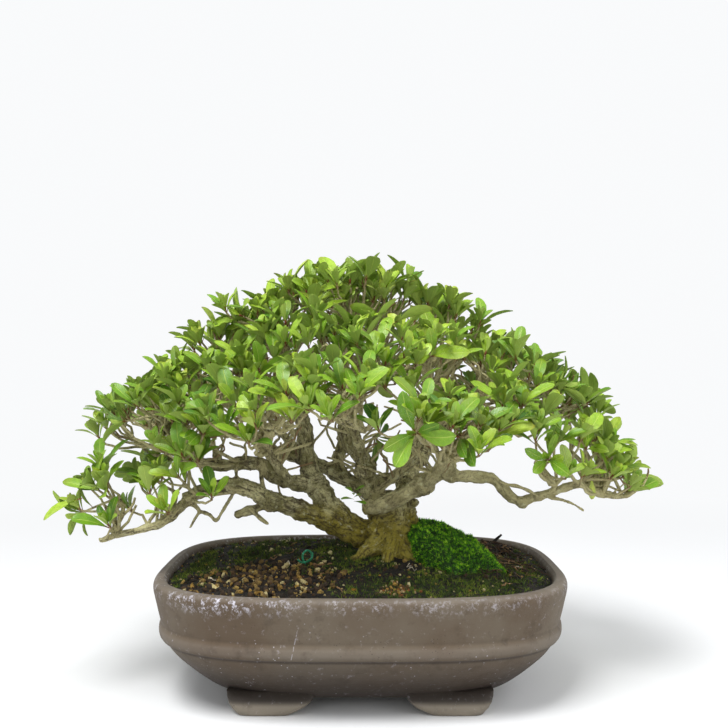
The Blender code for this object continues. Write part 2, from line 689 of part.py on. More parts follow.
def leaf_shape(base, along, up, length, half_width, grow=0.0):
    # Oblanceolate blade with a keel, as cross-sections of left edge, right edge and keel
    along = along.normalized()
    side = along.cross(up).normalized()
    up = side.cross(along).normalized()
    bm = bmesh.new()
    sections = [(0.0, LEAF_ROOT_HALF, 0.0)]
    sections += [(share, half_width * width_share, rise) for share, width_share, rise in LEAF_SECTIONS]
    rings = []
    for share, half, rise in sections:
        middle = base + along * share * (length + grow) + up * rise * length
        lift = LEAF_KEEL * 0.35 + grow * 0.8
        left = bm.verts.new(middle - side * (half + grow) + up * lift)
        right = bm.verts.new(middle + side * (half + grow) + up * lift)
        keel = bm.verts.new(middle - up * (LEAF_KEEL * 0.65 + grow * 1.4))
        rings.append((left, right, keel))
    bridge(bm, rings)
    bm.faces.new(rings[0])
    tip = bm.verts.new(base + along * (length + grow))
    for k in range(3):
        bm.faces.new((rings[-1][k], rings[-1][(k + 1) % 3], tip))
    return bm


def turned(vector, axis, degrees):
    return Quaternion(axis, math.radians(degrees)) @ vector


def whorl_plan(start, tip, rng):
    # A twig with the leaves at its tip and one more below them. A leaf stands on the middle of a twig's face.
    direction = (tip - start).normalized()
    around = direction.orthogonal().normalized()
    first_turn = rng.uniform(0.0, 360.0)
    leaves = []
    count = LEAVES_PER_WHORL + (1 if rng.random() < LOW_LEAF_SHARE else 0)
    for n in range(count):
        low = n == LEAVES_PER_WHORL
        leaf_turn = first_turn + 360.0 * n / LEAVES_PER_WHORL + rng.uniform(-LEAF_TURN_SPREAD, LEAF_TURN_SPREAD)
        lean = rng.uniform(*(LOW_LEAF_LEAN if low else LEAF_LEAN))
        along = turned(direction, turned(around, direction, leaf_turn), lean)
        down = LEAF_ROOT_DEPTH + (rng.uniform(*LOW_LEAF_DOWN) if low else 0.0)
        leaves.append((down, along, rng.uniform(*LEAF_LENGTH)))
    return start, tip, turned(around, direction, first_turn + 90.0), leaves


def shoot_plan(goal, outward, seed):
    # The stem, which is the first twig, and its side twig, each with its leaves
    rng = random.Random(seed + 7)
    base = goal + outward * GAP
    fork = base + outward * STEM_LENGTH
    main_tip = fork + (outward + Vector((0, 0, 0.2))).normalized() * rng.uniform(*MAIN_LENGTH)
    tilt_axis = turned(outward.orthogonal().normalized(), outward, rng.uniform(0.0, 360.0))
    side_way = turned(outward, tilt_axis, rng.uniform(*TWIG_LEAN))
    side_tip = fork + side_way * rng.uniform(*TWIG_LENGTH)
    return base, fork, [whorl_plan(fork, main_tip, rng), whorl_plan(fork, side_tip, rng)]


def tree_of(bm):
    return BVHTree.FromBMesh(bm)


def crosses(tree, taken):
    return any(tree.overlap(other) for other in taken)


def near(point, entries, reach):
    return [tree for centre, size, tree in entries if (centre - point).length < reach + size]


def guard_tube(start, end, radius):
    bm = bmesh.new()
    ahead = (end - start).normalized()
    frame = ahead.orthogonal().normalized()
    other = ahead.cross(frame)
    rings = []
    for point in (start, end):
        ring = []
        for k in range(GUARD_SIDES):
            turn = 2.0 * math.pi * k / GUARD_SIDES
            ring.append(bm.verts.new(point + (frame * math.cos(turn) + other * math.sin(turn)) * radius))
        rings.append(ring)
    bridge(bm, rings)
    bm.faces.new(rings[0])
    bm.faces.new(rings[-1])
    made = tree_of(bm)
    bm.free()
    return made


def clear_leaf(base, direction, along, length, taken):
    # Bends a leaf that would cross another piece, up towards its twig's line or sideways
    for lift, swing in LEAF_BENDS:
        tilt = along.cross(direction)
        if tilt.length < 0.05:
            tilt = along.orthogonal()
        bent = turned(along, tilt.normalized(), lift)
        bent = turned(bent, direction, swing)
        for share in LEAF_SHARES:
            size = length * share
            guard = leaf_shape(base, bent, direction, size, size * LEAF_HALF_WIDTH, GUARD)
            tree = tree_of(guard)
            guard.free()
            if not crosses(tree, taken):
                return bent, size
    return None


def clear_tip(start, tip, outward, taken):
    # Leans, swings and shortens a twig until it crosses nothing. Returns its tip and its swing in degrees.
    reach = tip - start
    lean_axis = outward.cross(reach)
    if lean_axis.length < 0.0001:
        lean_axis = outward.orthogonal()
    lean_axis.normalize()
    for share in TWIG_SHARES:
        for lean in TWIG_LEANS:
            for swing in TWIG_SWINGS:
                moved = turned(turned(reach, lean_axis, lean), outward, swing) * share
                end = start + moved + moved.normalized() * BUD_LENGTH
                if not crosses(guard_tube(start, end, TWIG_RADII[1] + GUARD), taken):
                    return start + moved, swing
    return None


def make_shoot(index, goal, outward, seed, obstacles):
    base, fork, twigs = shoot_plan(goal, outward, seed)
    taken = near(goal, obstacles, NEARBY)
    parts = []
    leaf_trees = []
    stem = None
    for start, tip, corner, leaves in twigs:
        clear = clear_tip(start, tip, outward, taken)
        if clear is None:
            continue
        tip, swing = clear
        direction = (tip - start).normalized()
        corner = turned(corner, outward, swing)
        if stem is None:
            corner = (corner - outward * corner.dot(outward)).normalized()
            stem = tube(f"spray_{index:02d}", [base, start, tip], list(STEM_RADII), TWIG_SIDES,
                        point_length=BUD_LENGTH, corner=corner)
        else:
            back = start - direction * TWIG_BACK
            parts.append(tube("twig", [back, tip], list(TWIG_RADII), TWIG_SIDES, point_length=BUD_LENGTH,
                              corner=corner))
        own_trees = []
        for down, along, length in leaves:
            root = tip - direction * down
            found = clear_leaf(root, direction, turned(along, outward, swing), length, taken + leaf_trees)
            if found is None:
                continue
            bent, size = found
            blade = leaf_shape(root, bent, direction, size, size * LEAF_HALF_WIDTH)
            own_trees.append(tree_of(blade))
            parts.append(object_from("leaf", blade))
        leaf_trees += own_trees
    fuse(stem, parts)
    stem.data.materials.clear()
    stem.data.materials.append(material("leaf_green", (0.16, 0.34, 0.05), 0.5))
    return stem


def as_obstacle(item):
    bm = bmesh.new()
    bm.from_mesh(item.data)
    low = Vector([min(v.co[i] for v in bm.verts) for i in range(3)])
    high = Vector([max(v.co[i] for v in bm.verts) for i in range(3)])
    entry = ((low + high) / 2, (high - low).length / 2, tree_of(bm))
    bm.free()
    return entry


def build():
    clear_scene()
    make_pot()
    for end in (-1, 1):
        make_screen(end)
    soil = make_soil()
    moss = make_moss()
    wire = wire_shape("tie_wire", 0.0, material("wire_green", (0.02, 0.22, 0.14), 0.4))
    wood = make_wood()
    obstacles = [as_obstacle(item) for item in (soil, moss, wire, wood)]
    for index, (limb, goal, outward, seed) in enumerate(shoot_frames(), start=1):
        shoot = make_shoot(index, goal, outward, seed, obstacles)
        obstacles.append(as_obstacle(shoot))


build()
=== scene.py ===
import math
import random

import bmesh
import bpy
import numpy as np
from mathutils import Matrix, Quaternion, Vector, noise
from mathutils.kdtree import KDTree


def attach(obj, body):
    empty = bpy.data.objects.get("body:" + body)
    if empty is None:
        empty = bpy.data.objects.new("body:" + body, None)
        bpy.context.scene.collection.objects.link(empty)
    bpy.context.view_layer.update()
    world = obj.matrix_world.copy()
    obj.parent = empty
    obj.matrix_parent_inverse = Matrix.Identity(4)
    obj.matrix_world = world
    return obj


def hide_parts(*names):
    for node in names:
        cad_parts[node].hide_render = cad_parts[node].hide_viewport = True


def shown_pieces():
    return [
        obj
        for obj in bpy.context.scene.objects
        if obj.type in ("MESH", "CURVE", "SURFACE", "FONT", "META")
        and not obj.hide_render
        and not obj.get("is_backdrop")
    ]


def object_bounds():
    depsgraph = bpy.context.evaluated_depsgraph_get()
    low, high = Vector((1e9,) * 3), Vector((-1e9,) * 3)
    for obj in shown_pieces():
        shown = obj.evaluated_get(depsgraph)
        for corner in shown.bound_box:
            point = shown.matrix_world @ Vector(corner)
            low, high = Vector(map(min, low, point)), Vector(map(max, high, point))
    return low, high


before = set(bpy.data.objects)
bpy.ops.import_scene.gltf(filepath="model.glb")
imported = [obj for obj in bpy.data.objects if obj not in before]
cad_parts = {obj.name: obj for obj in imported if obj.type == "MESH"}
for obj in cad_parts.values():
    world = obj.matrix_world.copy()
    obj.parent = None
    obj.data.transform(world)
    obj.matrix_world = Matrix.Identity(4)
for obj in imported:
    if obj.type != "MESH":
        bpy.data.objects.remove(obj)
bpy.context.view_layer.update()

print("frame loaded")


def tone(*seen):        # red, green and blue as seen on a screen, 0 to 255, made linear
    return tuple(((c / 255 + 0.055) / 1.055) ** 2.4 if c > 10 else c / 255 / 12.92 for c in seen)


class Link:        # a node's output that takes part in plain maths
    def __init__(self, graph, socket):
        self.graph = graph
        self.socket = socket

    def maths(self, operation, first, second):
        return self.graph.node(self.graph.mathNode, {"operation": operation}, {0: first, 1: second})

    def __add__(self, other):
        return self.maths("ADD", self, other)

    def __radd__(self, other):
        return self.maths("ADD", other, self)

    def __sub__(self, other):
        return self.maths("SUBTRACT", self, other)

    def __rsub__(self, other):
        return self.maths("SUBTRACT", other, self)

    def __mul__(self, other):
        return self.maths("MULTIPLY", self, other)

    def __rmul__(self, other):
        return self.maths("MULTIPLY", other, self)

    def __pow__(self, other):
        return self.maths("POWER", self, other)

    def __abs__(self):
        return self.maths("ABSOLUTE", self, 0.0)

    def over(self, low, high):        # 0 below low, 1 above high, smooth between
        settings = {"interpolation_type": "SMOOTHSTEP", "clamp": True}
        values = {"Value": self, "From Min": low, "From Max": high}
        return self.graph.node("ShaderNodeMapRange", settings, values)


class Graph:        # a node tree that grows one node at a time
    mathNode = "ShaderNodeMath"

    def __init__(self, tree):
        self.tree = tree

    def node(self, kind, settings=None, values=None, output=0):
        made = self.tree.nodes.new(kind)
        for name, value in (settings or {}).items():
            if name == "stops":
                while len(made.color_ramp.elements) < len(value):
                    made.color_ramp.elements.new(0.5)
                for stop, (position, colour) in zip(made.color_ramp.elements, value):
                    stop.position = position
                    stop.color = (*colour, 1.0)
            else:
                setattr(made, name, value)
        for name, value in (values or {}).items():
            if isinstance(value, Link):
                self.tree.links.new(value.socket, made.inputs[name])
            elif isinstance(value, tuple) and len(value) == 3 and made.inputs[name].type == "RGBA":
                made.inputs[name].default_value = (*value, 1.0)
            else:
                made.inputs[name].default_value = value
        self.last = made
        return Link(self, made.outputs[output])

    def blend(self, factor, first, second, mode="MIX"):        # colours
        settings = {"data_type": "RGBA", "blend_type": mode}
        return self.node("ShaderNodeMix", settings, {0: factor, 6: first, 7: second}, 2)

    def vector(self, operation, first, second):
        return self.node("ShaderNodeVectorMath", {"operation": operation}, {0: first, 1: second})

    def attribute(self, name, output="Fac"):
        return self.node("ShaderNodeAttribute", {"attribute_name": name}, None, output)

    def grain(self, place, scale, detail=3.0, rough=0.55, warp=0.0):
        values = {"Vector": place, "Scale": scale, "Detail": detail, "Roughness": rough, "Distortion": warp}
        return self.node("ShaderNodeTexNoise", None, values)

    def cells(self, place, scale, output="Distance"):
        return self.node("ShaderNodeTexVoronoi", None, {"Vector": place, "Scale": scale}, output)

    def ramp(self, factor, stops):
        return self.node("ShaderNodeValToRGB", {"stops": stops}, {"Fac": factor})

    def bump(self, height, distance, strength=1.0):
        values = {"Height": height, "Distance": distance, "Strength": strength}
        return self.node("ShaderNodeBump", None, values)


def paint(name, make, **fixed):        # a Principled material whose varying sockets come from make
    made = bpy.data.materials.new(name)
    made.use_nodes = True
    graph = Graph(made.node_tree)
    shader = made.node_tree.nodes["Principled BSDF"]
    for socket, value in fixed.items():
        shader.inputs[socket.replace("_", " ")].default_value = value
    for socket, value in make(graph).items():
        if isinstance(value, Link):
            made.node_tree.links.new(value.socket, shader.inputs[socket])
        else:
            shader.inputs[socket].default_value = (*value, 1.0) if isinstance(value, tuple) else value
    return made


def here(graph):        # the place on the piece, in metres
    return graph.node("ShaderNodeTexCoord", None, None, "Object")


def split(graph, place):
    x = graph.node("ShaderNodeSeparateXYZ", None, {"Vector": place}, "X")
    box = graph.last
    return x, Link(graph, box.outputs["Y"]), Link(graph, box.outputs["Z"])


clayLook = {"body": tone(97, 86, 71), "warm": tone(82, 67, 50), "base": tone(58, 53, 48),
            "bloom": tone(214, 212, 224), "dark": tone(40, 29, 20), "foot": tone(136, 127, 112),
            "wornAndHighlight": tone(168, 162, 156)}
# heights of the grooves below and above the band, and where the long scratch starts and how it leans
clayMarks = {"lowGroove": 0.0437, "highGroove": 0.0562, "scratchX": -0.0397, "scratchTop": 0.0694,
             "scratchLean": 0.226}


def clay(graph):
    look, marks = clayLook, clayMarks
    place = here(graph)
    x, y, z = split(graph, place)
    cloud = graph.grain(place, 16.0, 4.0)
    mottle = graph.grain(place, 90.0, 4.0, 0.65)
    colour = graph.blend(cloud.over(0.35, 0.7), look["body"], look["warm"])
    # painted shade: the lower belly is darkened towards the bottom, where less light reaches it
    low = 1 - (z + cloud * 0.02).over(0.026, 0.066)
    colour = graph.blend(low * 0.90, colour, look["dark"])
    colour = graph.blend((1 - z.over(0.010, 0.022)) * 0.5, colour, look["base"])
    colour = graph.blend((1 - z.over(0.006, 0.0105)) * 0.85, colour, look["foot"])
    # the raised band is painted paler as a painted highlight, with painted shade in the grooves below and
    # above it
    band = z.over(0.0455, 0.0485) * (1 - z.over(0.0520, 0.0550))
    colour = graph.blend(band * 0.10, colour, look["wornAndHighlight"])
    lowGroove = (1 - abs(z - marks["lowGroove"]).over(0.0004, 0.0022)) * 0.75
    highGroove = (1 - abs(z - marks["highGroove"]).over(0.0003, 0.0016)) * 0.12
    colour = graph.blend(lowGroove + highGroove, colour, look["dark"])
    colour = graph.blend(mottle.over(0.52, 0.75) * 0.35, colour, look["dark"])
    speck = 1 - graph.cells(place, 420.0).over(0.10, 0.22)
    rare = graph.grain(place, 60.0, 1.0).over(0.60, 0.66)
    colour = graph.blend(speck * rare * 0.6, colour, look["dark"])
    # the rim is painted paler, partly as wear and partly as a painted highlight on its top, and lime crept
    # out below it, most at the left of the front
    colour = graph.blend(z.over(0.0825, 0.0855) * (0.02 + mottle * 0.25), colour, look["wornAndHighlight"])
    drift = graph.grain(graph.vector("MULTIPLY", place, (1.0, 1.0, 0.9)), 230.0, 8.0, 0.82, 0.3)
    spread = graph.grain(graph.vector("MULTIPLY", place, (1.0, 1.0, 0.1)), 26.0, 3.0)
    reach = z + (spread - 0.5) * 0.022
    high = reach.over(0.073, 0.084) * (1 - z.over(0.0848, 0.0862) * 0.8)
    most = 1 - (abs(x + 0.070) - 0.040).over(0.0, 0.045) * 0.62
    bloom = drift.over(0.50, 0.62) * high * spread.over(0.40, 0.58) * most
    colour = graph.blend(bloom * 0.85, colour, look["bloom"])
    dust = graph.grain(place, 240.0, 5.0, 0.7).over(0.58, 0.74) * 0.16
    colour = graph.blend(dust, colour, look["bloom"])
    nick = (1 - graph.cells(place, 260.0).over(0.06, 0.16)) * graph.grain(place, 50.0, 1.0).over(0.58, 0.64)
    colour = graph.blend(nick * 0.45, colour, look["bloom"])
    # one long scratch slants down the front to the left
    lean = (marks["scratchTop"] - z) * marks["scratchLean"]
    off = abs(x - marks["scratchX"] + lean + (mottle - 0.5) * 0.0012)
    front = 1 - y.over(-0.09, -0.08)
    scratch = (1 - off.over(0.0, 0.0005)) * z.over(0.045, 0.047) * (1 - z.over(0.068, 0.070)) * front
    scratch = scratch * graph.grain(place, 500.0, 3.0).over(0.40, 0.60)
    colour = graph.blend(scratch * 0.34, colour, look["bloom"])
    rings = graph.grain(graph.vector("MULTIPLY", place, (0.06, 0.06, 1.0)), 420.0, 3.0)
    height = rings * 0.5 + mottle * 0.35 + graph.grain(place, 700.0, 3.0) * 0.35 + bloom * 0.3
    dents = graph.bump(height, 0.0006, 0.6)
    return {"Base Color": colour, "Roughness": 0.62 + mottle * 0.25, "Normal": dents}


barkLook = {"pale": tone(196, 190, 142), "mid": tone(130, 125, 80), "brown": tone(60, 47, 30),
            "crack": tone(38, 30, 20), "olive": tone(142, 129, 30), "young": tone(180, 171, 124),
            "lichen": tone(202, 202, 162), "tip": tone(112, 74, 42)}


def bark(graph):
    look = barkLook
    place = here(graph)
    x, y, z = split(graph, place)
    along = graph.attribute("grain", "Vector")
    girth = graph.attribute("girth")
    streak = graph.grain(graph.vector("MULTIPLY", along, (1.0, 1.0, 0.22)), 480.0, 6.0, 0.7, 0.5)
    cloud = graph.grain(place, 70.0, 5.0, 0.6)
    fleck = graph.grain(place, 800.0, 5.0, 0.75)
    rough = graph.grain(place, 240.0, 6.0, 0.7, 0.4)
    colour = graph.blend(cloud.over(0.38, 0.62), look["mid"], look["pale"])
    peel = graph.grain(place, 40.0, 6.0, 0.75, 0.6).over(0.55, 0.62)
    colour = graph.blend(peel * 0.65, colour, look["brown"])
    colour = graph.blend((1 - girth.over(0.0012, 0.0052)) * 0.75, colour, look["young"])
    foot = (1 - (z + (cloud - 0.5) * 0.03).over(0.116, 0.140)) * x.over(-0.075, -0.030)
    # the limb that crosses in front of the trunk is smoother, and painted paler as a painted highlight that
    # sets it off from the trunk below
    edge = (z - x.over(0.010, 0.060) * 0.022).over(0.1235, 0.1265)
    onLimb = 1 - (1 - edge) * (1 - x.over(0.062, 0.072))
    smooth = (1 - y.over(-0.019, -0.011)) * x.over(0.001, 0.008) * onLimb
    colour = graph.blend(smooth * 0.45, colour, look["young"])
    foot = foot * (1 - smooth)
    colour = graph.blend(foot * 0.90, colour, look["olive"])
    colour = graph.blend(foot * z.over(0.100, 0.108) * peel * 0.5, colour, look["brown"])
    plain = 1 - smooth * 0.45
    colour = graph.blend(streak.over(0.47, 0.62) * plain * 0.80, colour, look["brown"])
    colour = graph.blend(rough.over(0.54, 0.64) * plain * 0.75, colour, look["crack"])
    colour = graph.blend((1 - rough.over(0.34, 0.44)) * 0.55, colour, look["lichen"])
    colour = graph.blend(fleck.over(0.55, 0.64) * 0.60, colour, look["brown"])
    colour = graph.blend((1 - girth.over(0.00070, 0.00088)) * 0.75, colour, look["tip"])
    height = streak * 0.7 + fleck * 0.5 - rough * 1.2
    cracks = graph.bump(height, 0.0013, 0.9)
    return {"Base Color": colour, "Roughness": 0.78 + fleck * 0.15, "Normal": cracks}


leafLook = {"deep": tone(56, 104, 12), "mid": tone(108, 151, 24), "light": tone(160, 190, 50),
            "pale": tone(190, 202, 88), "under": tone(160, 183, 88), "rib": tone(190, 208, 96),
            "stalk": tone(118, 60, 28), "bud": tone(118, 62, 36), "spot": tone(134, 100, 34),
            "dust": tone(206, 212, 188), "olive": tone(122, 130, 30)}


def leafGreen(graph):
    look = leafLook
    across, along = split(graph, graph.node("ShaderNodeUVMap", {"uv_map": "leafMap"}))[:2]
    tint = graph.attribute("tint")
    age = graph.attribute("age")
    bud = graph.attribute("bud")
    place = here(graph)
    under = across.over(1.4, 1.6)
    side = abs(across - under * 2.0 - 0.5) * 2.0
    stops = [(0.0, look["deep"]), (0.35, look["mid"]), (0.72, look["light"]), (1.0, look["pale"])]
    colour = graph.ramp(tint, stops)
    mottle = graph.grain(place, 330.0, 3.0)
    colour = graph.blend(mottle.over(0.42, 0.62) * 0.24, colour, look["deep"])
    drift = graph.grain(place, 55.0, 3.0)
    colour = graph.blend(drift.over(0.46, 0.66) * 0.42, colour, look["olive"])
    colour = graph.blend(under * 0.7, colour, look["under"])
    wave = (along * 9.0 - side * 2.0) * math.pi
    veins = abs(wave.maths("SINE", wave, 0.0))
    vein = (1 - veins.over(0.0, 0.22)) * side.over(0.05, 0.2) * (1 - side.over(0.75, 0.95))
    colour = graph.blend(vein * 0.14, colour, look["rib"])
    rib = 1 - side.over(0.02, 0.09)
    colour = graph.blend(rib * 0.5, colour, look["rib"])
    edge = side.over(0.80, 1.0) * age * 0.25
    colour = graph.blend(edge, colour, look["spot"])
    tip = along.over(0.90, 1.0) * tint.over(0.45, 0.9) * 0.5
    colour = graph.blend(tip, colour, look["spot"])
    spots = graph.grain(place, 1300.0, 2.0).over(0.66, 0.72) * age.over(0.5, 0.9)
    colour = graph.blend(spots * 0.6, colour, look["spot"])
    lime = graph.grain(place, 1700.0, 3.0, 0.6).over(0.60, 0.68) * age.over(0.35, 0.8)
    colour = graph.blend(lime * 0.45, colour, look["dust"])
    colour = graph.blend(1 - along.over(0.05, 0.22), colour, look["stalk"])
    colour = graph.blend(bud, colour, look["bud"])
    height = rib * -0.8 - vein * 0.5 + mottle * 0.25 + graph.grain(place, 2200.0, 2.0) * 0.12
    rough = 0.46 - age * 0.16 + under * 0.22 + mottle * 0.10
    return {"Base Color": colour, "Roughness": rough, "Normal": graph.bump(height, 0.0004, 0.7)}


soilLook = {"black": tone(11, 9, 6), "brown": tone(38, 28, 16), "tan": tone(152, 126, 64),
            "gold": tone(150, 110, 32), "orange": tone(134, 78, 36), "cream": tone(202, 191, 140),
            "rust": tone(76, 54, 28)}


def soilGround(graph):
    look = soilLook
    place = here(graph)
    crumb = graph.grain(place, 260.0, 5.0, 0.7)
    colour = graph.blend(crumb.over(0.42, 0.66), look["black"], look["brown"])
    fine = graph.cells(place, 700.0)
    colour = graph.blend((1 - fine.over(0.1, 0.35)) * crumb.over(0.5, 0.7) * 0.5, colour, look["rust"])
    crumbs = graph.bump(crumb + fine * 0.5, 0.0015, 0.9)
    return {"Base Color": colour, "Roughness": 0.95, "Normal": crumbs}


def grit(graph):
    look = soilLook
    place = here(graph)
    tint = graph.attribute("tint")
    stops = [(0.0, look["black"]), (0.42, look["brown"]), (0.62, look["rust"]), (0.76, look["tan"]),
             (0.84, look["gold"]), (0.92, look["cream"]), (1.0, look["orange"])]
    colour = graph.ramp(tint, stops)
    crumb = graph.grain(place, 900.0, 4.0, 0.7)
    colour = graph.blend(crumb.over(0.45, 0.62) * 0.55, colour, look["brown"])
    return {"Base Color": colour, "Roughness": 0.9, "Normal": graph.bump(crumb, 0.0009, 0.9)}


mossLook = {"dark": tone(24, 54, 4), "mid": tone(86, 160, 10), "bright": tone(166, 228, 26),
            "tip": tone(220, 240, 96)}


def moss(graph):
    look = mossLook
    place = here(graph)
    tint = graph.attribute("tint")
    rise = graph.attribute("rise")
    cloud = graph.grain(place, 150.0, 4.0, 0.6)
    clump = graph.cells(place, 330.0).over(0.15, 0.55)
    # the tone is partly random, and painted lighter towards the blade tips as a painted highlight and darker
    # between the clumps as painted shade
    shade = tint * 0.62 + rise * 0.58 + (cloud - 0.5) * 1.2 - clump * 0.46 + 0.06
    stops = [(0.0, look["dark"]), (0.38, look["mid"]), (0.68, look["bright"]), (1.0, look["tip"])]
    colour = graph.ramp(shade, stops)
    fine = graph.bump(graph.grain(place, 2400.0, 2.0), 0.0003, 0.5)
    return {"Base Color": colour, "Roughness": 0.8, "Normal": fine}


darkMossLook = [(0.0, tone(18, 26, 8)), (0.40, tone(50, 70, 16)), (0.72, tone(104, 122, 30)),
                (1.0, tone(168, 166, 72))]


def darkMoss(graph):
    place = here(graph)
    tint = graph.attribute("tint")
    rise = graph.attribute("rise")
    cloud = graph.grain(place, 45.0, 4.0, 0.6)
    # painted highlight: besides the random tint, the tone is lighter towards the blade tips
    colour = graph.ramp(tint * 0.5 + rise * 0.35 + (cloud - 0.45) * 1.1, darkMossLook)
    fine = graph.bump(graph.grain(place, 1800.0, 2.0), 0.0003, 0.5)
    return {"Base Color": colour, "Roughness": 0.9, "Normal": fine}


wireLook = {"paint": tone(6, 104, 66), "wornAndHighlight": tone(60, 176, 136)}


def wireGreen(graph):
    place = here(graph)
    wearAndHighlight = graph.grain(place, 700.0, 4.0)
    # the pale cyan-green patches on the wire are a painted highlight
    colour = graph.blend(wearAndHighlight.over(0.5, 0.7), wireLook["paint"], wireLook["wornAndHighlight"])
    return {"Base Color": colour, "Roughness": 0.35 + wearAndHighlight * 0.2, "Normal": graph.bump(wearAndHighlight, 0.0002, 0.4)}


deadWoodLook = {"streak": tone(40, 30, 22),
                "stops": [(0.0, tone(28, 22, 16)), (0.35, tone(92, 64, 40)), (0.75, tone(148, 116, 78)),
                          (1.0, tone(206, 196, 176))]}


def deadWood(graph):
    place = here(graph)
    tint = graph.attribute("tint")
    streak = graph.grain(place, 800.0, 4.0)
    colour = graph.ramp(tint, deadWoodLook["stops"])
    colour = graph.blend(streak.over(0.45, 0.7) * 0.5, colour, deadWoodLook["streak"])
    return {"Base Color": colour, "Roughness": 0.85, "Normal": graph.bump(streak, 0.0005, 0.8)}


screenLook = {"plastic": tone(30, 30, 30), "wornAndHighlight": tone(58, 54, 48)}


def meshPlastic(graph):
    wearAndHighlight = graph.grain(here(graph), 500.0, 4.0)
    colour = graph.blend(wearAndHighlight.over(0.4, 0.7), screenLook["plastic"], screenLook["wornAndHighlight"])
    return {"Base Color": colour, "Roughness": 0.5 + wearAndHighlight * 0.2, "Normal": graph.bump(wearAndHighlight, 0.0002, 0.5)}


floorLook = {"one": tone(224, 225, 226), "other": tone(228, 229, 230), "glow": (0.95, 0.96, 0.97),
             "near": 0.25, "far": 1.1}


def paleFloor(graph):
    look = floorLook
    none = (0.0, 0.0, 0.0)
    spot = here(graph)
    x, y, z = split(graph, spot)
    far = ((x * x + y * y) ** 0.5).over(look["near"], look["far"])        # it fades into the pale surround
    colour = graph.blend(graph.grain(spot, 3.0, 3.0), look["one"], look["other"])
    glow = graph.blend(far, none, look["glow"])
    colour = graph.blend(far, colour, none)
    return {"Base Color": colour, "Emission Color": glow, "Roughness": 0.9}


def lineUp(points, step):        # points at about one spacing along a curve through the given ones
    points = [Vector(p) for p in points]
    padded = [points[0] * 2 - points[1]] + points + [points[-1] * 2 - points[-2]]
    route = [points[0]]
    for a, b, c, d in zip(padded, padded[1:], padded[2:], padded[3:]):
        count = max(1, round((c - b).length / step))
        for i in range(1, count + 1):
            t = i / count
            route.append(0.5 * (2 * b + (c - a) * t + (2 * a - 5 * b + 4 * c - d) * t ** 2
                                + (3 * b - a - 3 * c + d) * t ** 3))
    return route


def turned(vector, axis, degrees):
    return Quaternion(axis, math.radians(degrees)) @ vector


def bridge(bm, rings, caps=True):
    for low, high in zip(rings, rings[1:]):
        for k in range(len(low)):
            n = (k + 1) % len(low)
            bm.faces.new((low[k], low[n], high[n], high[k]))
    if caps:
        bm.faces.new(rings[0])
        bm.faces.new(rings[-1])


def meshFrom(name, bm, smooth=True):
    bmesh.ops.recalc_face_normals(bm, faces=bm.faces)
    mesh = bpy.data.meshes.new(name)
    bm.to_mesh(mesh)
    bm.free()
    mesh.polygons.foreach_set("use_smooth", [smooth] * len(mesh.polygons))
    return mesh


def place(name, mesh, *looks):
    made = bpy.data.objects.new(name, mesh)
    bpy.context.collection.objects.link(made)
    for look in looks:
        mesh.materials.append(look)
    return made


def evaluated(made):        # the object's mesh with its modifiers worked in
    graph = bpy.context.evaluated_depsgraph_get()
    mesh = bpy.data.meshes.new_from_object(made.evaluated_get(graph), preserve_all_data_layers=True,
                                           depsgraph=graph)
    made.modifiers.clear()
    made.data = mesh
    return made


def store(mesh, name, values, kind="FLOAT"):        # a value for each point of the mesh
    held = mesh.attributes.new(name, kind, "POINT")
    field = "vector" if kind == "FLOAT_VECTOR" else "value"
    held.data.foreach_set(field, np.array(values, dtype=np.int32 if kind == "INT" else np.float32).ravel())


def readPoints(mesh, field="co"):
    values = np.empty(len(mesh.vertices) * 3, dtype=np.float32)
    if field == "co":
        mesh.vertices.foreach_get("co", values)
    else:
        mesh.vertex_normals.foreach_get("vector", values)
    return values.reshape(-1, 3)


class Rule(Graph):        # a Geometry Nodes tree with named inputs
    def __init__(self, name, **inputs):
        super().__init__(bpy.data.node_groups.new(name, "GeometryNodeTree"))
        sockets = self.tree.interface
        sockets.new_socket("Geometry", in_out="INPUT", socket_type="NodeSocketGeometry")
        for label, (kind, value) in inputs.items():
            made = sockets.new_socket(label, in_out="INPUT", socket_type="NodeSocket" + kind)
            if value is not None:
                made.default_value = value
        sockets.new_socket("Geometry", in_out="OUTPUT", socket_type="NodeSocketGeometry")
        self.given = self.tree.nodes.new("NodeGroupInput")

    def value(self, label):
        return Link(self, self.given.outputs[label])

    def named(self, name, kind="FLOAT"):
        return self.node("GeometryNodeInputNamedAttribute", {"data_type": kind}, {"Name": name})

    def keep(self, geometry, name, value):
        return self.node("GeometryNodeStoreNamedAttribute", {"data_type": "FLOAT", "domain": "INSTANCE"},
                         {"Geometry": geometry, "Name": name, "Value": value})

    def chance(self, low, high, seed, kind="FLOAT"):
        first, output = (0, 0) if kind == "FLOAT_VECTOR" else (2, 1)
        values = {first: low, first + 1: high, 8: seed}
        return self.node("FunctionNodeRandomValue", {"data_type": kind}, values, output)

    def shapes(self):        # the given collection's shapes, one to be picked for each point
        values = {"Collection": self.value("Shapes"), 1: True, 2: True}
        return self.node("GeometryNodeCollectionInfo", None, values)

    def scaled(self, vector, size):
        return self.node("ShaderNodeVectorMath", {"operation": "SCALE"}, {0: vector, "Scale": size})

    def end(self, geometry, look, ground=None):
        solid = self.node("GeometryNodeRealizeInstances", None, {"Geometry": geometry})
        last = self.node("GeometryNodeSetMaterial", None, {"Geometry": solid, "Material": self.value(look)})
        if ground:
            join = self.tree.nodes.new("GeometryNodeJoinGeometry")
            self.tree.links.new(last.socket, join.inputs[0])
            self.tree.links.new(ground.socket, join.inputs[0])
            last = Link(self, join.outputs[0])
        self.tree.links.new(last.socket, self.tree.nodes.new("NodeGroupOutput").inputs[0])
        return self.tree


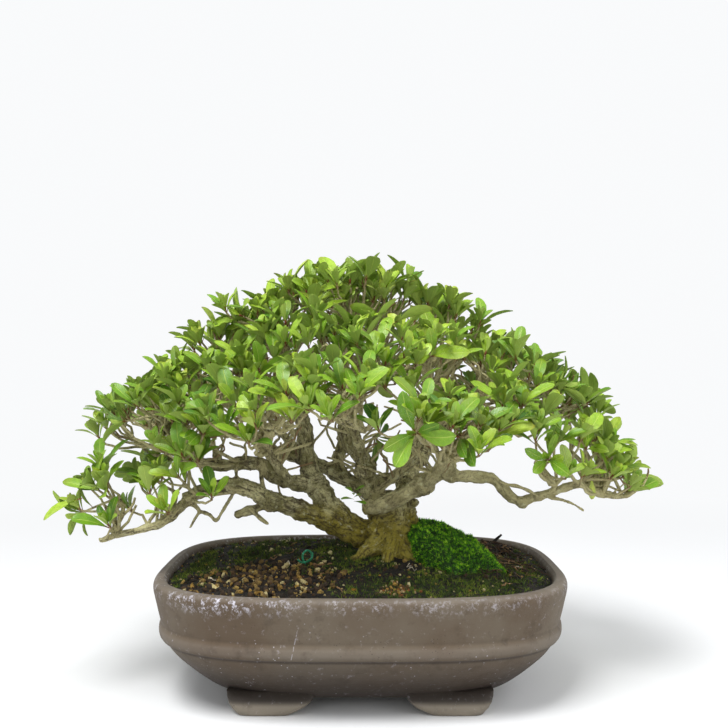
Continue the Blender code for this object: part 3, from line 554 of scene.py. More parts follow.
def standRule():        # one shape on each point, turned, sized and picked by the point's own values
    rule = Rule("stand", Shapes=("Collection", None), Size=("Float", 1.0), Look=("Material", None))
    turn = rule.node("FunctionNodeEulerToRotation", None, {0: rule.named("turn", "FLOAT_VECTOR")})
    size = rule.scaled(rule.named("size", "FLOAT_VECTOR"), rule.value("Size"))
    values = {"Points": rule.value("Geometry"), "Instance": rule.shapes(), "Pick Instance": True,
              "Instance Index": rule.named("pick", "INT"), "Rotation": turn, "Scale": size}
    made = rule.node("GeometryNodeInstanceOnPoints", None, values)
    return rule.end(made, "Look")


def coverRule(name, keepGround):        # shapes strewn over a surface by its cover value
    rule = Rule(name, Shapes=("Collection", None), Density=("Float", 1000.0), Small=("Float", 0.5),
                Large=("Float", 1.0), Lean=("Float", 0.5), Seed=("Int", 1), Look=("Material", None))
    ground = rule.value("Geometry")
    density = rule.named("cover") * rule.value("Density")
    values = {"Mesh": ground, "Density": density, "Seed": rule.value("Seed")}
    points = rule.node("GeometryNodeDistributePointsOnFaces", None, values)
    normal = Link(rule, rule.last.outputs["Normal"])
    lean = rule.chance((-1.0, -1.0, -1.0), (1.0, 1.0, 1.0), 3, "FLOAT_VECTOR")
    lean = rule.scaled(lean, rule.value("Lean"))
    up = rule.vector("ADD", normal, lean)
    turn = rule.node("FunctionNodeAlignRotationToVector", {"axis": "Z"}, {"Vector": up})
    values = {"Axis": (0.0, 0.0, 1.0), "Angle": rule.chance(0.0, 6.28, 5)}
    spin = rule.node("FunctionNodeAxisAngleToRotation", None, values)
    turn = rule.node("FunctionNodeRotateRotation", {"rotation_space": "LOCAL"}, {0: turn, 1: spin})
    size = rule.chance(0.0, 1.0, 7)
    size = rule.value("Small") + size * size * (rule.value("Large") - rule.value("Small"))
    values = {"Points": points, "Instance": rule.shapes(), "Pick Instance": True, "Rotation": turn,
              "Scale": size}
    made = rule.node("GeometryNodeInstanceOnPoints", None, values)
    made = rule.keep(made, "tint", rule.chance(0.0, 1.0, 11))
    return rule.end(made, "Look", ground if keepGround else None)


def twigRule():        # round twigs along the edges of a line mesh, as thick as its girth value
    rule = Rule("twig", Sides=("Int", 6), Look=("Material", None))
    curve = rule.node("GeometryNodeMeshToCurve", None, {"Mesh": rule.value("Geometry")})
    values = {"Resolution": rule.value("Sides"), "Radius": 1.0}
    ring = rule.node("GeometryNodeCurvePrimitiveCircle", None, values)
    values = {"Curve": curve, "Profile Curve": ring, "Scale": rule.named("girth"), "Fill Caps": True}
    made = rule.node("GeometryNodeCurveToMesh", None, values)
    return rule.end(made, "Look")


def grown(made, rule, **values):        # works a rule in and leaves a plain mesh
    modifier = made.modifiers.new("rule", "NODES")
    modifier.node_group = rule
    for item in rule.interface.items_tree:
        if item.in_out == "INPUT" and item.name in values:
            modifier[item.identifier] = values[item.name]
    return evaluated(made)


def shapeSet(name, meshes):        # a collection of shapes to place, itself not in the scene
    made = bpy.data.collections.new(name)
    for i, mesh in enumerate(meshes):
        made.objects.link(bpy.data.objects.new(f"{name}{i:02d}", mesh))
    return made


stand, spread, strew, twig = standRule(), coverRule("spread", True), coverRule("strew", False), twigRule()
clayMade = paint("clay", clay)
barkMade = paint("bark", bark)
leafMade = paint("leaf", leafGreen, Specular_IOR_Level=0.45)
soilMade = paint("soil", soilGround)
gritMade = paint("grit", grit)
mossMade = paint("moss", moss)
darkMossMade = paint("darkMoss", darkMoss)
print("materials made")

# the pot
potShape = {"segments": 144, "step": 0.0016, "halfWidth": 0.1510, "halfDepth": 0.1160, "power": 3.4,
            "wobble": 0.00035, "drainX": 0.058, "drainRadius": 0.012}
# height and inset of the wall's outer and inner side
potOutside = [(0.0075, 0.045), (0.011, 0.038), (0.020, 0.0275), (0.033, 0.0150), (0.0420, 0.0087),
              (0.0437, 0.0080), (0.0450, 0.0056), (0.0468, 0.0044), (0.0495, 0.0037), (0.0530, 0.0039),
              (0.0548, 0.0048), (0.0562, 0.0051), (0.0590, 0.0044), (0.0700, 0.0020), (0.0800, 0.0000),
              (0.0845, 0.0008), (0.0860, 0.0032)]
potInside = [(0.0860, 0.0072), (0.0835, 0.0092), (0.0560, 0.0130), (0.0340, 0.0235), (0.017, 0.0430)]
footShape = {"middle": 0.074, "halfDepth": 0.012, "sides": 28, "power": 5.0}
# a foot's rings: height, near end, far end and growth in depth
footRings = [(0, 0.047, 0.083, -0.0012), (0.0007, 0.0462, 0.0845, 0), (0.0045, 0.038, 0.088, 0.0006),
             (0.0085, 0.033, 0.0905, 0.0004), (0.0115, 0.031, 0.0915, -0.0024),
             (0.0145, 0.030, 0.092, -0.0060)]


def corner(part, power):        # a circle's cosine or sine, drawn out to a rounded rectangle
    return math.copysign(abs(part) ** (2 / power), part)


def planPoint(angle, inset, share=1.0):
    x = corner(math.cos(angle), potShape["power"]) * (potShape["halfWidth"] - inset) * share
    y = corner(math.sin(angle), potShape["power"]) * (potShape["halfDepth"] - inset) * share
    return x, y


def planRing(bm, z, inset, share=1.0, heightAt=None):
    ring = []
    for i in range(potShape["segments"]):
        x, y = planPoint(2 * math.pi * (i + 0.5) / potShape["segments"], inset, share)
        ring.append(bm.verts.new((x, y, heightAt(x, y) if heightAt else z)))
    return ring


bm = bmesh.new()
line = lineUp([(inset, 0, z) for z, inset in potOutside], potShape["step"])
line += lineUp([(inset, 0, z) for z, inset in potInside], potShape["step"] * 2)
bridge(bm, [planRing(bm, point.z, point.x) for point in line])
for vert in bm.verts:
    away = Vector((vert.co.x, vert.co.y, 0)).normalized()
    vert.co += away * noise.noise(vert.co * 22) * potShape["wobble"]
for side in (-1, 1):
    for end in (-1, 1):
        rings = []
        for z, near, far, grow in footRings:
            ring = []
            for i in range(footShape["sides"]):
                angle = 2 * math.pi * (i + 0.5) / footShape["sides"]
                x = (near + far) / 2 + corner(math.cos(angle), footShape["power"]) * (far - near) / 2
                depth = footShape["halfDepth"] + grow
                y = footShape["middle"] + corner(math.sin(angle), footShape["power"]) * depth
                ring.append(bm.verts.new((end * x, side * y, z)))
            rings.append(ring)
        bridge(bm, rings)
pot = place("pot_body", meshFrom("pot_body", bm), clayMade)
drill = bmesh.new()
for end in (-1, 1):
    bmesh.ops.create_cone(drill, cap_ends=True, segments=32, radius1=potShape["drainRadius"],
                          radius2=potShape["drainRadius"], depth=0.03,
                          matrix=Matrix.Translation((end * potShape["drainX"], 0, 0.015)))
cutter = place("drill", meshFrom("drill", drill))
modifier = pot.modifiers.new("drain", "BOOLEAN")
modifier.operation, modifier.solver, modifier.object = "DIFFERENCE", "EXACT", cutter
modifier.use_self = True
evaluated(pot)
pot.data.polygons.foreach_set("use_smooth", [True] * len(pot.data.polygons))
pot.data.set_sharp_from_angle(angle=math.radians(50))
bpy.data.objects.remove(cutter)
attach(pot, "root")
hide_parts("pot")
print("pot made")

# soil, grains and litter
bed = {"edge": 0.0805, "crown": 0.0955, "halfWidth": 0.141, "halfDepth": 0.106, "ripple": 0.0009,
       "rough": 0.0008, "rows": 56, "topInset": 0.0102, "crumbs": 42000.0, "crumbSize": (0.0009, 0.0030),
       "seed": 5}
# height and inset of its side, which follows the pot's inner wall
bedSide = [(0.0195, 0.0424), (0.034, 0.0240), (0.056, 0.0135), (0.078, 0.0104)]
# low heaps: x, y, radius, height
heaps = [(0.106, 0.038, 0.032, 0.0050), (0.112, -0.030, 0.026, 0.0020), (-0.105, 0.050, 0.034, 0.0024)]


def soilHeight(x, y):
    power = potShape["power"]
    share = (abs(x / bed["halfWidth"]) ** power + abs(y / bed["halfDepth"]) ** power) ** (1 / power)
    share = min(1.0, share)
    dome = bed["edge"] + (bed["crown"] - bed["edge"]) * (1 - share ** 1.8)
    ripple = math.sin(x * 260 + 1.3) * math.sin(y * 230 + 0.4) + 0.6 * math.sin(x * 510 - y * 430)
    return dome + bed["ripple"] * ripple * (1 - share ** 6)


def groundHeight(x, y):
    heaped = sum(rise * math.exp(-((x - a) ** 2 + (y - b) ** 2) / reach ** 2) for a, b, reach, rise in heaps)
    crumbs = noise.fractal(Vector((x, y, 0)) * 260, 0.8, 2.0, 4)
    return soilHeight(x, y) + heaped + bed["rough"] * crumbs


bm = bmesh.new()
rings = [planRing(bm, z, inset) for z, inset in bedSide]
for i in range(bed["rows"]):
    rings.append(planRing(bm, 0, bed["topInset"], 1 - i / bed["rows"] * 0.985, groundHeight))
bridge(bm, rings)
soilMesh = meshFrom("soil_bed", bm)
spots = readPoints(soilMesh).tolist()
thick = [min(1.0, max(0.35, 0.70 + noise.noise(Vector(spot) * 30) * 1.2)) for spot in spots]
onTop = [spot[2] >= bed["edge"] - 0.001 for spot in spots]        # no grains on its side and underside
store(soilMesh, "cover", [value if top else 0.0 for value, top in zip(thick, onTop)])


def crumbMesh(seed, flat=0.7):        # an uneven grain about one unit across
    bm = bmesh.new()
    bmesh.ops.create_icosphere(bm, subdivisions=1, radius=0.5)
    for vert in bm.verts:
        vert.co *= 1 + 0.5 * noise.noise(vert.co * 2.2 + Vector((seed * 7.3, 0, 0)))
        vert.co.z *= flat
    return meshFrom("crumb", bm, False)


grains = shapeSet("grain", [crumbMesh(i, 0.62 + 0.08 * i) for i in range(4)])
soil = place("soil_bed", soilMesh, soilMade)
small, large = bed["crumbSize"]
grown(soil, spread, Shapes=grains, Density=bed["crumbs"], Small=small, Large=large, Lean=0.8,
      Seed=bed["seed"], Look=gritMade)
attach(soil, "root")
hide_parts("soil")
print("soil made")

# moss
mossBed = {"centre": (0.0690, -0.016, 0.0885), "size": (0.0335, 0.038, 0.0305), "lean": (-0.72, 0.42),
           "rows": 36, "columns": 96, "underside": 0.38, "lump": 0.0032, "lobe": (0.011, -0.004),
           "lobeTurn": -0.75, "base": 0.083, "tufts": 850000.0, "tuftSize": (0.0012, 0.0030), "seed": 9}
mossCentre, mossSize = Vector(mossBed["centre"]), Vector(mossBed["size"])
bm = bmesh.new()
rings = []
for r in range(1, mossBed["rows"]):
    down = math.pi * r / mossBed["rows"]
    ring = []
    for c in range(mossBed["columns"]):
        turn = 2 * math.pi * c / mossBed["columns"]
        lumps = 1 + 0.05 * math.sin(3 * turn + 0.7) + 0.03 * math.sin(7 * turn)
        reach = math.sin(down) * lumps
        fall = math.cos(down) * (1 if down < math.pi / 2 else mossBed["underside"])
        point = Vector((reach * math.cos(turn), reach * math.sin(turn), fall))
        ring.append(bm.verts.new(point * mossSize))
    rings.append(ring)
bridge(bm, rings)
for vert in bm.verts:
    lift = max(0.0, vert.co.z)
    # a low lobe runs out to the right of the front
    away = (math.atan2(vert.co.y, vert.co.x) - mossBed["lobeTurn"]) / 0.40
    lobe = math.exp(-away ** 2) * max(0.0, 1 - lift / 0.020)
    lobe *= min(1.0, math.hypot(vert.co.x, vert.co.y) / 0.030)
    vert.co.x *= 1 if vert.co.x > 0 else 0.84
    vert.co += Vector((*mossBed["lobe"], 0)) * lobe
    vert.co += mossCentre + Vector((mossBed["lean"][0] * lift, mossBed["lean"][1] * lift, 0))
    out = (vert.co - mossCentre).normalized()
    rough = noise.noise(vert.co * 110) + 0.6 * noise.noise(vert.co * 240) + 0.4 * noise.noise(vert.co * 520)
    vert.co += out * mossBed["lump"] * (rough - 0.5)
mossMesh = meshFrom("moss_cushion", bm)
lifts = [(p[2] - mossBed["base"]) / 0.004 for p in readPoints(mossMesh).tolist()]
store(mossMesh, "cover", [min(1.0, max(0.0, lift)) for lift in lifts])


def tuftMesh(seed, blades=3):        # a few short pointed blades from one root, one unit high
    rng = random.Random(seed)
    bm = bmesh.new()
    for b in range(blades):
        turn = 2 * math.pi * (b + rng.random() * 0.6) / blades
        out = Vector((math.cos(turn), math.sin(turn), 0))
        side = Vector((-out.y, out.x, 0)) * 0.16
        top = out * rng.uniform(0.25, 0.6) + Vector((0, 0, rng.uniform(0.7, 1.0)))
        foot = out * 0.06 - Vector((0, 0, 0.3))
        corners = [bm.verts.new(point) for point in (foot + side, foot - side, foot + out * 0.2, top)]
        bm.faces.new(corners[:3])
        for k in range(3):
            bm.faces.new((corners[k], corners[(k + 1) % 3], corners[3]))
    made = meshFrom("tuft", bm, False)
    store(made, "rise", [max(0.0, v.co.z) for v in made.vertices])
    return made


tufts = shapeSet("tuft", [tuftMesh(i) for i in range(4)])
cushion = place("moss_cushion", mossMesh, mossMade)
small, large = mossBed["tuftSize"]
grown(cushion, spread, Shapes=tufts, Density=mossBed["tufts"], Small=small, Large=large, Lean=0.8,
      Seed=mossBed["seed"], Look=mossMade)
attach(cushion, "root")
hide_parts("moss_mound")

# dark moss, thick round the root and behind, rougher at the right of the front
patchBed = {"rows": 44, "inset": 0.0120, "tufts": 400000.0, "tuftSize": (0.0012, 0.0036), "seed": 10}
# x, y, reach along each, weight
patches = [(0.005, -0.010, 0.044, 0.034, 1.0), (-0.020, -0.036, 0.030, 0.020, 1.0),
           (0.030, 0.034, 0.060, 0.030, 0.7), (-0.078, 0.020, 0.040, 0.036, 0.6),
           (0.062, -0.080, 0.070, 0.024, 1.1), (0.020, -0.092, 0.040, 0.012, 0.8),
           (0.112, -0.030, 0.022, 0.060, 0.7), (-0.030, 0.070, 0.060, 0.020, 0.6),
           (-0.120, -0.014, 0.022, 0.050, 0.8)]
bm = bmesh.new()
rings = []
for i in range(patchBed["rows"]):
    rings.append(planRing(bm, 0, patchBed["inset"], 1 - i / patchBed["rows"] * 0.97, groundHeight))
bridge(bm, rings, False)
patchMesh = meshFrom("moss_patches", bm)
values = []
for p in readPoints(patchMesh).tolist():
    reach = max(w * (1.25 - math.hypot((p[0] - x) / a, (p[1] - y) / b)) for x, y, a, b, w in patches)
    ragged = 0.8 * noise.noise(Vector(p) * 70) + 0.5 * noise.noise(Vector(p) * 190)
    values.append(min(1.0, max(0.0, (reach + ragged) * 1.6)))
store(patchMesh, "cover", values)
patch = place("moss_patches", patchMesh)
small, large = patchBed["tuftSize"]
grown(patch, strew, Shapes=tufts, Density=patchBed["tufts"], Small=small, Large=large, Lean=0.9,
      Seed=patchBed["seed"], Look=darkMossMade)
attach(patch, "root")
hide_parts("moss_mound")
print("moss made")

# larger grains and litter on the soil
litter = {"seed": 23, "heap": 900, "strays": 150, "clump": 90, "fibres": 170, "splinters": 18, "sides": 5}
heapTints = (0.20, 0.34, 0.44, 0.50, 0.56, 0.62, 0.66, 0.72, 0.76, 0.80, 0.90)
strayTints = (0.3, 0.5, 0.6, 0.62, 0.76, 0.92)
clumpTints = (1.0, 0.96, 0.64, 0.60, 0.80)
fibreTints = (0.0, 0.05, 0.1, 0.15, 0.25, 0.6)
splinterTints = (0.3, 0.7, 1.0)
rng = random.Random(litter["seed"])
spots, turns, sizes, picks, tints = [], [], [], [], []


def dropGrain(x, y, size, tint):
    spots.append((x, y, groundHeight(x, y) + size * 0.15))
    turns.append([rng.uniform(0, 6.28) for _ in range(3)])
    sizes.append([size * rng.uniform(0.8, 1.25), size, size * rng.uniform(0.7, 1.0)])
    picks.append(rng.randrange(4))
    tints.append(tint)


for n in range(litter["heap"]):        # many at the left of the front
    turn, reach = rng.uniform(0, 6.28), rng.random() ** 0.6
    size = 0.0015 + 0.0040 * rng.random() ** 2
    dropGrain(-0.070 + 0.060 * reach * math.cos(turn), -0.062 + 0.040 * reach * math.sin(turn), size,
              rng.choice(heapTints))
for n in range(litter["strays"]):
    x, y = planPoint(rng.uniform(0, 6.28), 0.016, rng.uniform(0.2, 0.98))
    dropGrain(x, y, rng.uniform(0.0018, 0.0045), rng.choice(strayTints))
for n in range(litter["clump"]):        # orange ones in front of the root
    x, y = 0.024 + rng.gauss(0, 0.0060), -0.084 + rng.gauss(0, 0.0042)
    dropGrain(x, y, rng.uniform(0.0012, 0.0034), rng.choice(clumpTints))
dropGrain(-0.004, -0.086, 0.005, 0.84)
mesh = bpy.data.meshes.new("soil_grains")
mesh.from_pydata(spots, [], [])
store(mesh, "turn", turns, "FLOAT_VECTOR")
store(mesh, "size", sizes, "FLOAT_VECTOR")
store(mesh, "pick", picks, "INT")
store(mesh, "tint", tints)
gravel = grown(place("soil_grains", mesh), stand, Shapes=grains, Look=gritMade)
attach(gravel, "root")
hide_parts("soil")


def twigPiece(name, lines, sides, look, tints=None):        # lines are a route with its first and last girth
    points, edges, girths, shades = [], [], [], []
    for n, (route, first, last) in enumerate(lines):
        for i, point in enumerate(route):
            if i:
                edges.append((len(points) - 1, len(points)))
            points.append(point)
            girths.append(first + (last - first) * i / (len(route) - 1))
            shades.append(tints[n] if tints else 0.0)
    mesh = bpy.data.meshes.new(name)
    mesh.from_pydata(points, edges, [])
    store(mesh, "girth", girths)
    if tints:
        store(mesh, "tint", shades)
    made = grown(place(name, mesh), twig, Sides=sides, Look=look)
    made.data.polygons.foreach_set("use_smooth", [True] * len(made.data.polygons))
    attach(made, "root")
    return made


def lying(x, y, way, length, bend):        # a line that lies on the soil
    route = []
    for i in range(7):
        at = Vector((x, y, 0)) + Vector((math.cos(way), math.sin(way), 0)) * length * i / 6
        way += rng.uniform(-bend, bend)
        route.append(Vector((at.x, at.y, groundHeight(at.x, at.y) + rng.uniform(0.0003, 0.0026))))
    return route


lines, shades = [], []
for n in range(litter["fibres"]):        # dead roots at the right
    x, y, way = rng.uniform(0.080, 0.126), rng.uniform(-0.045, 0.070), rng.uniform(0, 6.28)
    route = lying(x, y, way, rng.uniform(0.008, 0.024), 0.5)
    lines.append((route, rng.uniform(0.0003, 0.0010), 0.0002))
    shades.append(rng.choice(fibreTints))
for n in range(litter["splinters"]):
    x, y = planPoint(rng.uniform(0, 6.28), 0.020, rng.uniform(0.4, 0.95))
    lines.append((lying(x, y, rng.uniform(0, 6.28), rng.uniform(0.005, 0.014), 0.4), 0.0006, 0.0002))
    shades.append(rng.choice(splinterTints))
stump = [Vector((0.108, 0.055, 0.0870)), Vector((0.1125, 0.056, 0.0925)), Vector((0.1175, 0.057, 0.0965))]
lines.append((stump, 0.0019, 0.0009))
lines.append((lying(0.040, -0.052, 2.4, 0.012, 0.9), 0.0003, 0.0003))
lines.append((lying(-0.034, -0.044, 0.1, 0.014, 0.15), 0.0011, 0.0006))
shades += [0.0, 1.0, 0.6]
fibres = twigPiece("root_fibres", lines, litter["sides"], paint("deadWood", deadWood), shades)
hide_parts("soil")
print("litter made")

# wood
woodShape = {"voxel": 0.00105, "limbStep": 0.004, "limbSides": 14, "snagStep": 0.002, "snagSides": 10,
             "flareSides": 72, "routeStep": 0.019, "knob": 0.09, "lump": 0.0013, "flute": 0.0012}
# limbs: first radius, last radius, route
limbs = {
    "left_trunk": (0.0105, 0.0078, [
        (0.018, 0.003, 0.102), (0.004, 0.001, 0.107), (-0.009, 0, 0.115), (-0.021, 0, 0.126),
        (-0.033, 0.002, 0.143), (-0.04, 0.004, 0.155)]),
    "left_low": (0.0088, 0.0044, [
        (-0.004, -0.001, 0.11), (-0.014, -0.004, 0.113), (-0.026, -0.01, 0.121), (-0.043, -0.018, 0.128),
        (-0.056, -0.024, 0.134), (-0.069, -0.03, 0.139), (-0.078, -0.034, 0.146), (-0.086, -0.036, 0.149),
        (-0.095, -0.038, 0.151), (-0.108, -0.04, 0.149), (-0.118, -0.042, 0.146), (-0.127, -0.044, 0.141)]),
    "left_low_tip": (0.0038, 0.0022, [
        (-0.124, -0.043, 0.143), (-0.133, -0.046, 0.132), (-0.143, -0.046, 0.124), (-0.154, -0.046, 0.121),
        (-0.164, -0.046, 0.118), (-0.175, -0.046, 0.116), (-0.188, -0.044, 0.111)]),
    "left_up": (0.0072, 0.0034, [
        (-0.038, 0.003, 0.151), (-0.042, 0.006, 0.169), (-0.043, 0.008, 0.181), (-0.047, 0.008, 0.199),
        (-0.056, 0.008, 0.215), (-0.078, 0.005, 0.23), (-0.092, 0.002, 0.238)]),
    "left_mid": (0.0066, 0.0034, [
        (-0.034, 0.002, 0.146), (-0.046, -0.008, 0.148), (-0.057, -0.014, 0.151), (-0.066, -0.018, 0.156),
        (-0.075, -0.022, 0.164), (-0.088, -0.026, 0.165), (-0.105, -0.03, 0.164), (-0.118, -0.032, 0.166),
        (-0.131, -0.034, 0.172), (-0.146, -0.026, 0.181)]),
    "cross": (0.0072, 0.0036, [
        (0.016, 0.006, 0.13), (0.008, 0.014, 0.138), (-0.002, 0.02, 0.143), (-0.018, 0.028, 0.15),
        (-0.032, 0.034, 0.156), (-0.049, 0.04, 0.161), (-0.063, 0.048, 0.166), (-0.076, 0.055, 0.168),
        (-0.1, 0.06, 0.182), (-0.124, 0.064, 0.194)]),
    "cross_up": (0.005, 0.0028, [
        (-0.012, 0.025, 0.148), (-0.018, 0.03, 0.16), (-0.016, 0.032, 0.17), (-0.014, 0.034, 0.179),
        (-0.015, 0.036, 0.19), (-0.006, 0.042, 0.216), (0, 0.05, 0.244)]),
    "centre": (0.0076, 0.003, [
        (0.018, 0.004, 0.129), (0.007, 0.002, 0.143), (0.005, 0, 0.153), (0.005, -0.002, 0.16),
        (0, -0.004, 0.168), (-0.007, -0.006, 0.175), (-0.01, -0.006, 0.184), (-0.008, -0.004, 0.194),
        (-0.012, -0.002, 0.218), (-0.014, -0.004, 0.246)]),
    "centre_left": (0.0042, 0.0026, [
        (-0.046, 0.008, 0.196), (-0.051, 0.002, 0.214), (-0.058, 0.004, 0.232), (-0.062, 0, 0.25)]),
    "front_left": (0.0044, 0.0026, [
        (-0.055, -0.013, 0.15), (-0.06, -0.032, 0.162), (-0.064, -0.052, 0.174), (-0.066, -0.07, 0.184)]),
    "front_mid": (0.0046, 0.0026, [
        (0.001, -0.004, 0.166), (-0.001, -0.02, 0.176), (-0.004, -0.038, 0.19), (-0.006, -0.055, 0.204),
        (-0.004, -0.068, 0.22)]),
    "back_left": (0.0046, 0.0026, [
        (-0.047, 0.04, 0.16), (-0.058, 0.058, 0.172), (-0.072, 0.076, 0.184), (-0.08, 0.088, 0.192)]),
    "back_centre": (0.0038, 0.0026, [
        (-0.015, 0.036, 0.186), (-0.016, 0.054, 0.196), (-0.018, 0.072, 0.208), (-0.018, 0.086, 0.216)]),
    "right_main": (0.0060, 0.0064, [
        (0.0115, -0.003, 0.130), (0.007, -0.0125, 0.1305), (0.014, -0.0185, 0.132), (0.024, -0.0215, 0.136),
        (0.034, -0.0240, 0.1420), (0.047, -0.0265, 0.15), (0.057, -0.028, 0.158), (0.068, -0.028, 0.163)]),
    "right_low": (0.005, 0.0018, [
        (0.06, -0.028, 0.159), (0.068, -0.026, 0.156), (0.082, -0.024, 0.155), (0.098, -0.022, 0.153),
        (0.106, -0.022, 0.146), (0.113, -0.024, 0.139), (0.12, -0.026, 0.137), (0.129, -0.028, 0.14),
        (0.139, -0.028, 0.143), (0.148, -0.028, 0.146), (0.162, -0.028, 0.15), (0.172, -0.026, 0.145),
        (0.181, -0.024, 0.141), (0.196, -0.022, 0.14), (0.207, -0.02, 0.144)]),
    "right_up": (0.0052, 0.0026, [
        (0.064, -0.028, 0.161), (0.072, -0.022, 0.176), (0.088, -0.014, 0.191), (0.106, -0.01, 0.204),
        (0.128, -0.008, 0.21), (0.146, -0.004, 0.204)]),
    "right_front": (0.0044, 0.0026, [
        (0.046, -0.026, 0.149), (0.053, -0.046, 0.158), (0.058, -0.064, 0.168), (0.06, -0.076, 0.178)]),
    "centre_right": (0.0052, 0.0026, [
        (0.018, 0.002, 0.132), (0.014, -0.003, 0.149), (0.024, -0.002, 0.151), (0.031, 0, 0.158),
        (0.041, 0.002, 0.166), (0.044, 0.004, 0.188), (0.051, 0.002, 0.212), (0.054, 0.002, 0.236)]),
    "right_back": (0.0072, 0.003, [
        (0.021, 0.006, 0.124), (0.031, 0.014, 0.135), (0.036, 0.024, 0.142), (0.041, 0.034, 0.152),
        (0.049, 0.042, 0.16), (0.056, 0.05, 0.172), (0.062, 0.056, 0.186), (0.078, 0.058, 0.202),
        (0.094, 0.058, 0.216)]),
    "back_right": (0.0042, 0.0026, [
        (0.055, 0.049, 0.171), (0.062, 0.066, 0.18), (0.069, 0.082, 0.188), (0.072, 0.092, 0.196)]),
}
# root flare and trunk: height, radius, depth of its ridges, middle
flare = [(0.078, 0.0190, 0.14, 0.0260), (0.086, 0.0218, 0.18, 0.0260), (0.0925, 0.0245, 0.22, 0.0260),
         (0.0985, 0.0218, 0.18, 0.0262), (0.1045, 0.0186, 0.12, 0.0266), (0.1110, 0.0170, 0.08, 0.0265),
         (0.1190, 0.0178, 0.06, 0.0245), (0.1270, 0.0180, 0.05, 0.0228), (0.1345, 0.0160, 0.05, 0.0215),
         (0.1385, 0.0130, 0.04, 0.0208), (0.1405, 0.0080, 0.04, 0.0205)]
# shoots: their limb and the middle of their leaves
shoots = [
    ("left_low_tip", (-0.192, -0.05, 0.148)), ("left_low_tip", (-0.161, -0.02, 0.154)),
    ("left_low", (-0.129, -0.07, 0.16)), ("left_mid", (-0.191, -0.01, 0.202)),
    ("left_mid", (-0.154, -0.045, 0.216)), ("left_mid", (-0.122, -0.072, 0.197)),
    ("left_mid", (-0.16, 0.022, 0.222)), ("left_up", (-0.123, -0.028, 0.236)),
    ("left_up", (-0.118, 0.01, 0.259)), ("left_up", (-0.086, -0.055, 0.244)),
    ("left_up", (-0.096, 0.048, 0.255)), ("front_left", (-0.084, -0.094, 0.211)),
    ("cross", (-0.177, 0.062, 0.206)), ("cross", (-0.14, 0.086, 0.226)),
    ("back_left", (-0.104, 0.112, 0.209)),
    ("centre_left", (-0.076, 0.002, 0.284)), ("centre_left", (-0.054, -0.048, 0.267)),
    ("centre_left", (-0.056, 0.046, 0.281)), ("centre", (-0.042, -0.004, 0.293)),
    ("centre", (-0.008, -0.012, 0.301)), ("centre", (0.024, 0, 0.299)),
    ("front_mid", (-0.018, -0.066, 0.261)),
    ("cross_up", (-0.017, 0.05, 0.291)), ("cross_up", (0.022, 0.068, 0.276)),
    ("front_left", (-0.048, -0.118, 0.221)), ("front_mid", (-0.011, -0.124, 0.224)),
    ("front_mid", (0.014, -0.086, 0.25)), ("centre_right", (0.056, 0.006, 0.283)),
    ("centre_right", (0.079, 0.03, 0.267)), ("centre_right", (0.05, -0.048, 0.256)),
    ("right_up", (0.096, -0.008, 0.246)), ("right_up", (0.132, -0.018, 0.238)),
    ("right_up", (0.166, 0.002, 0.217)), ("right_up", (0.114, -0.06, 0.214)),
    ("right_front", (0.04, -0.114, 0.212)), ("right_front", (0.082, -0.096, 0.199)),
    ("right_low", (0.142, -0.064, 0.185)), ("right_low", (0.182, -0.026, 0.177)),
    ("right_low", (0.198, -0.018, 0.158)), ("right_low", (0.184, 0.036, 0.188)),
    ("right_back", (0.106, 0.062, 0.25)), ("right_back", (0.148, 0.056, 0.222)),
    ("back_right", (0.104, 0.106, 0.207)), ("back_right", (0.058, 0.104, 0.233)),
    ("back_centre", (0.01, 0.114, 0.238)), ("back_centre", (-0.044, 0.11, 0.234)),
]
crownCentre, crownSize = Vector((0, 0, 0.165)), Vector((0.235, 0.135, 0.150))
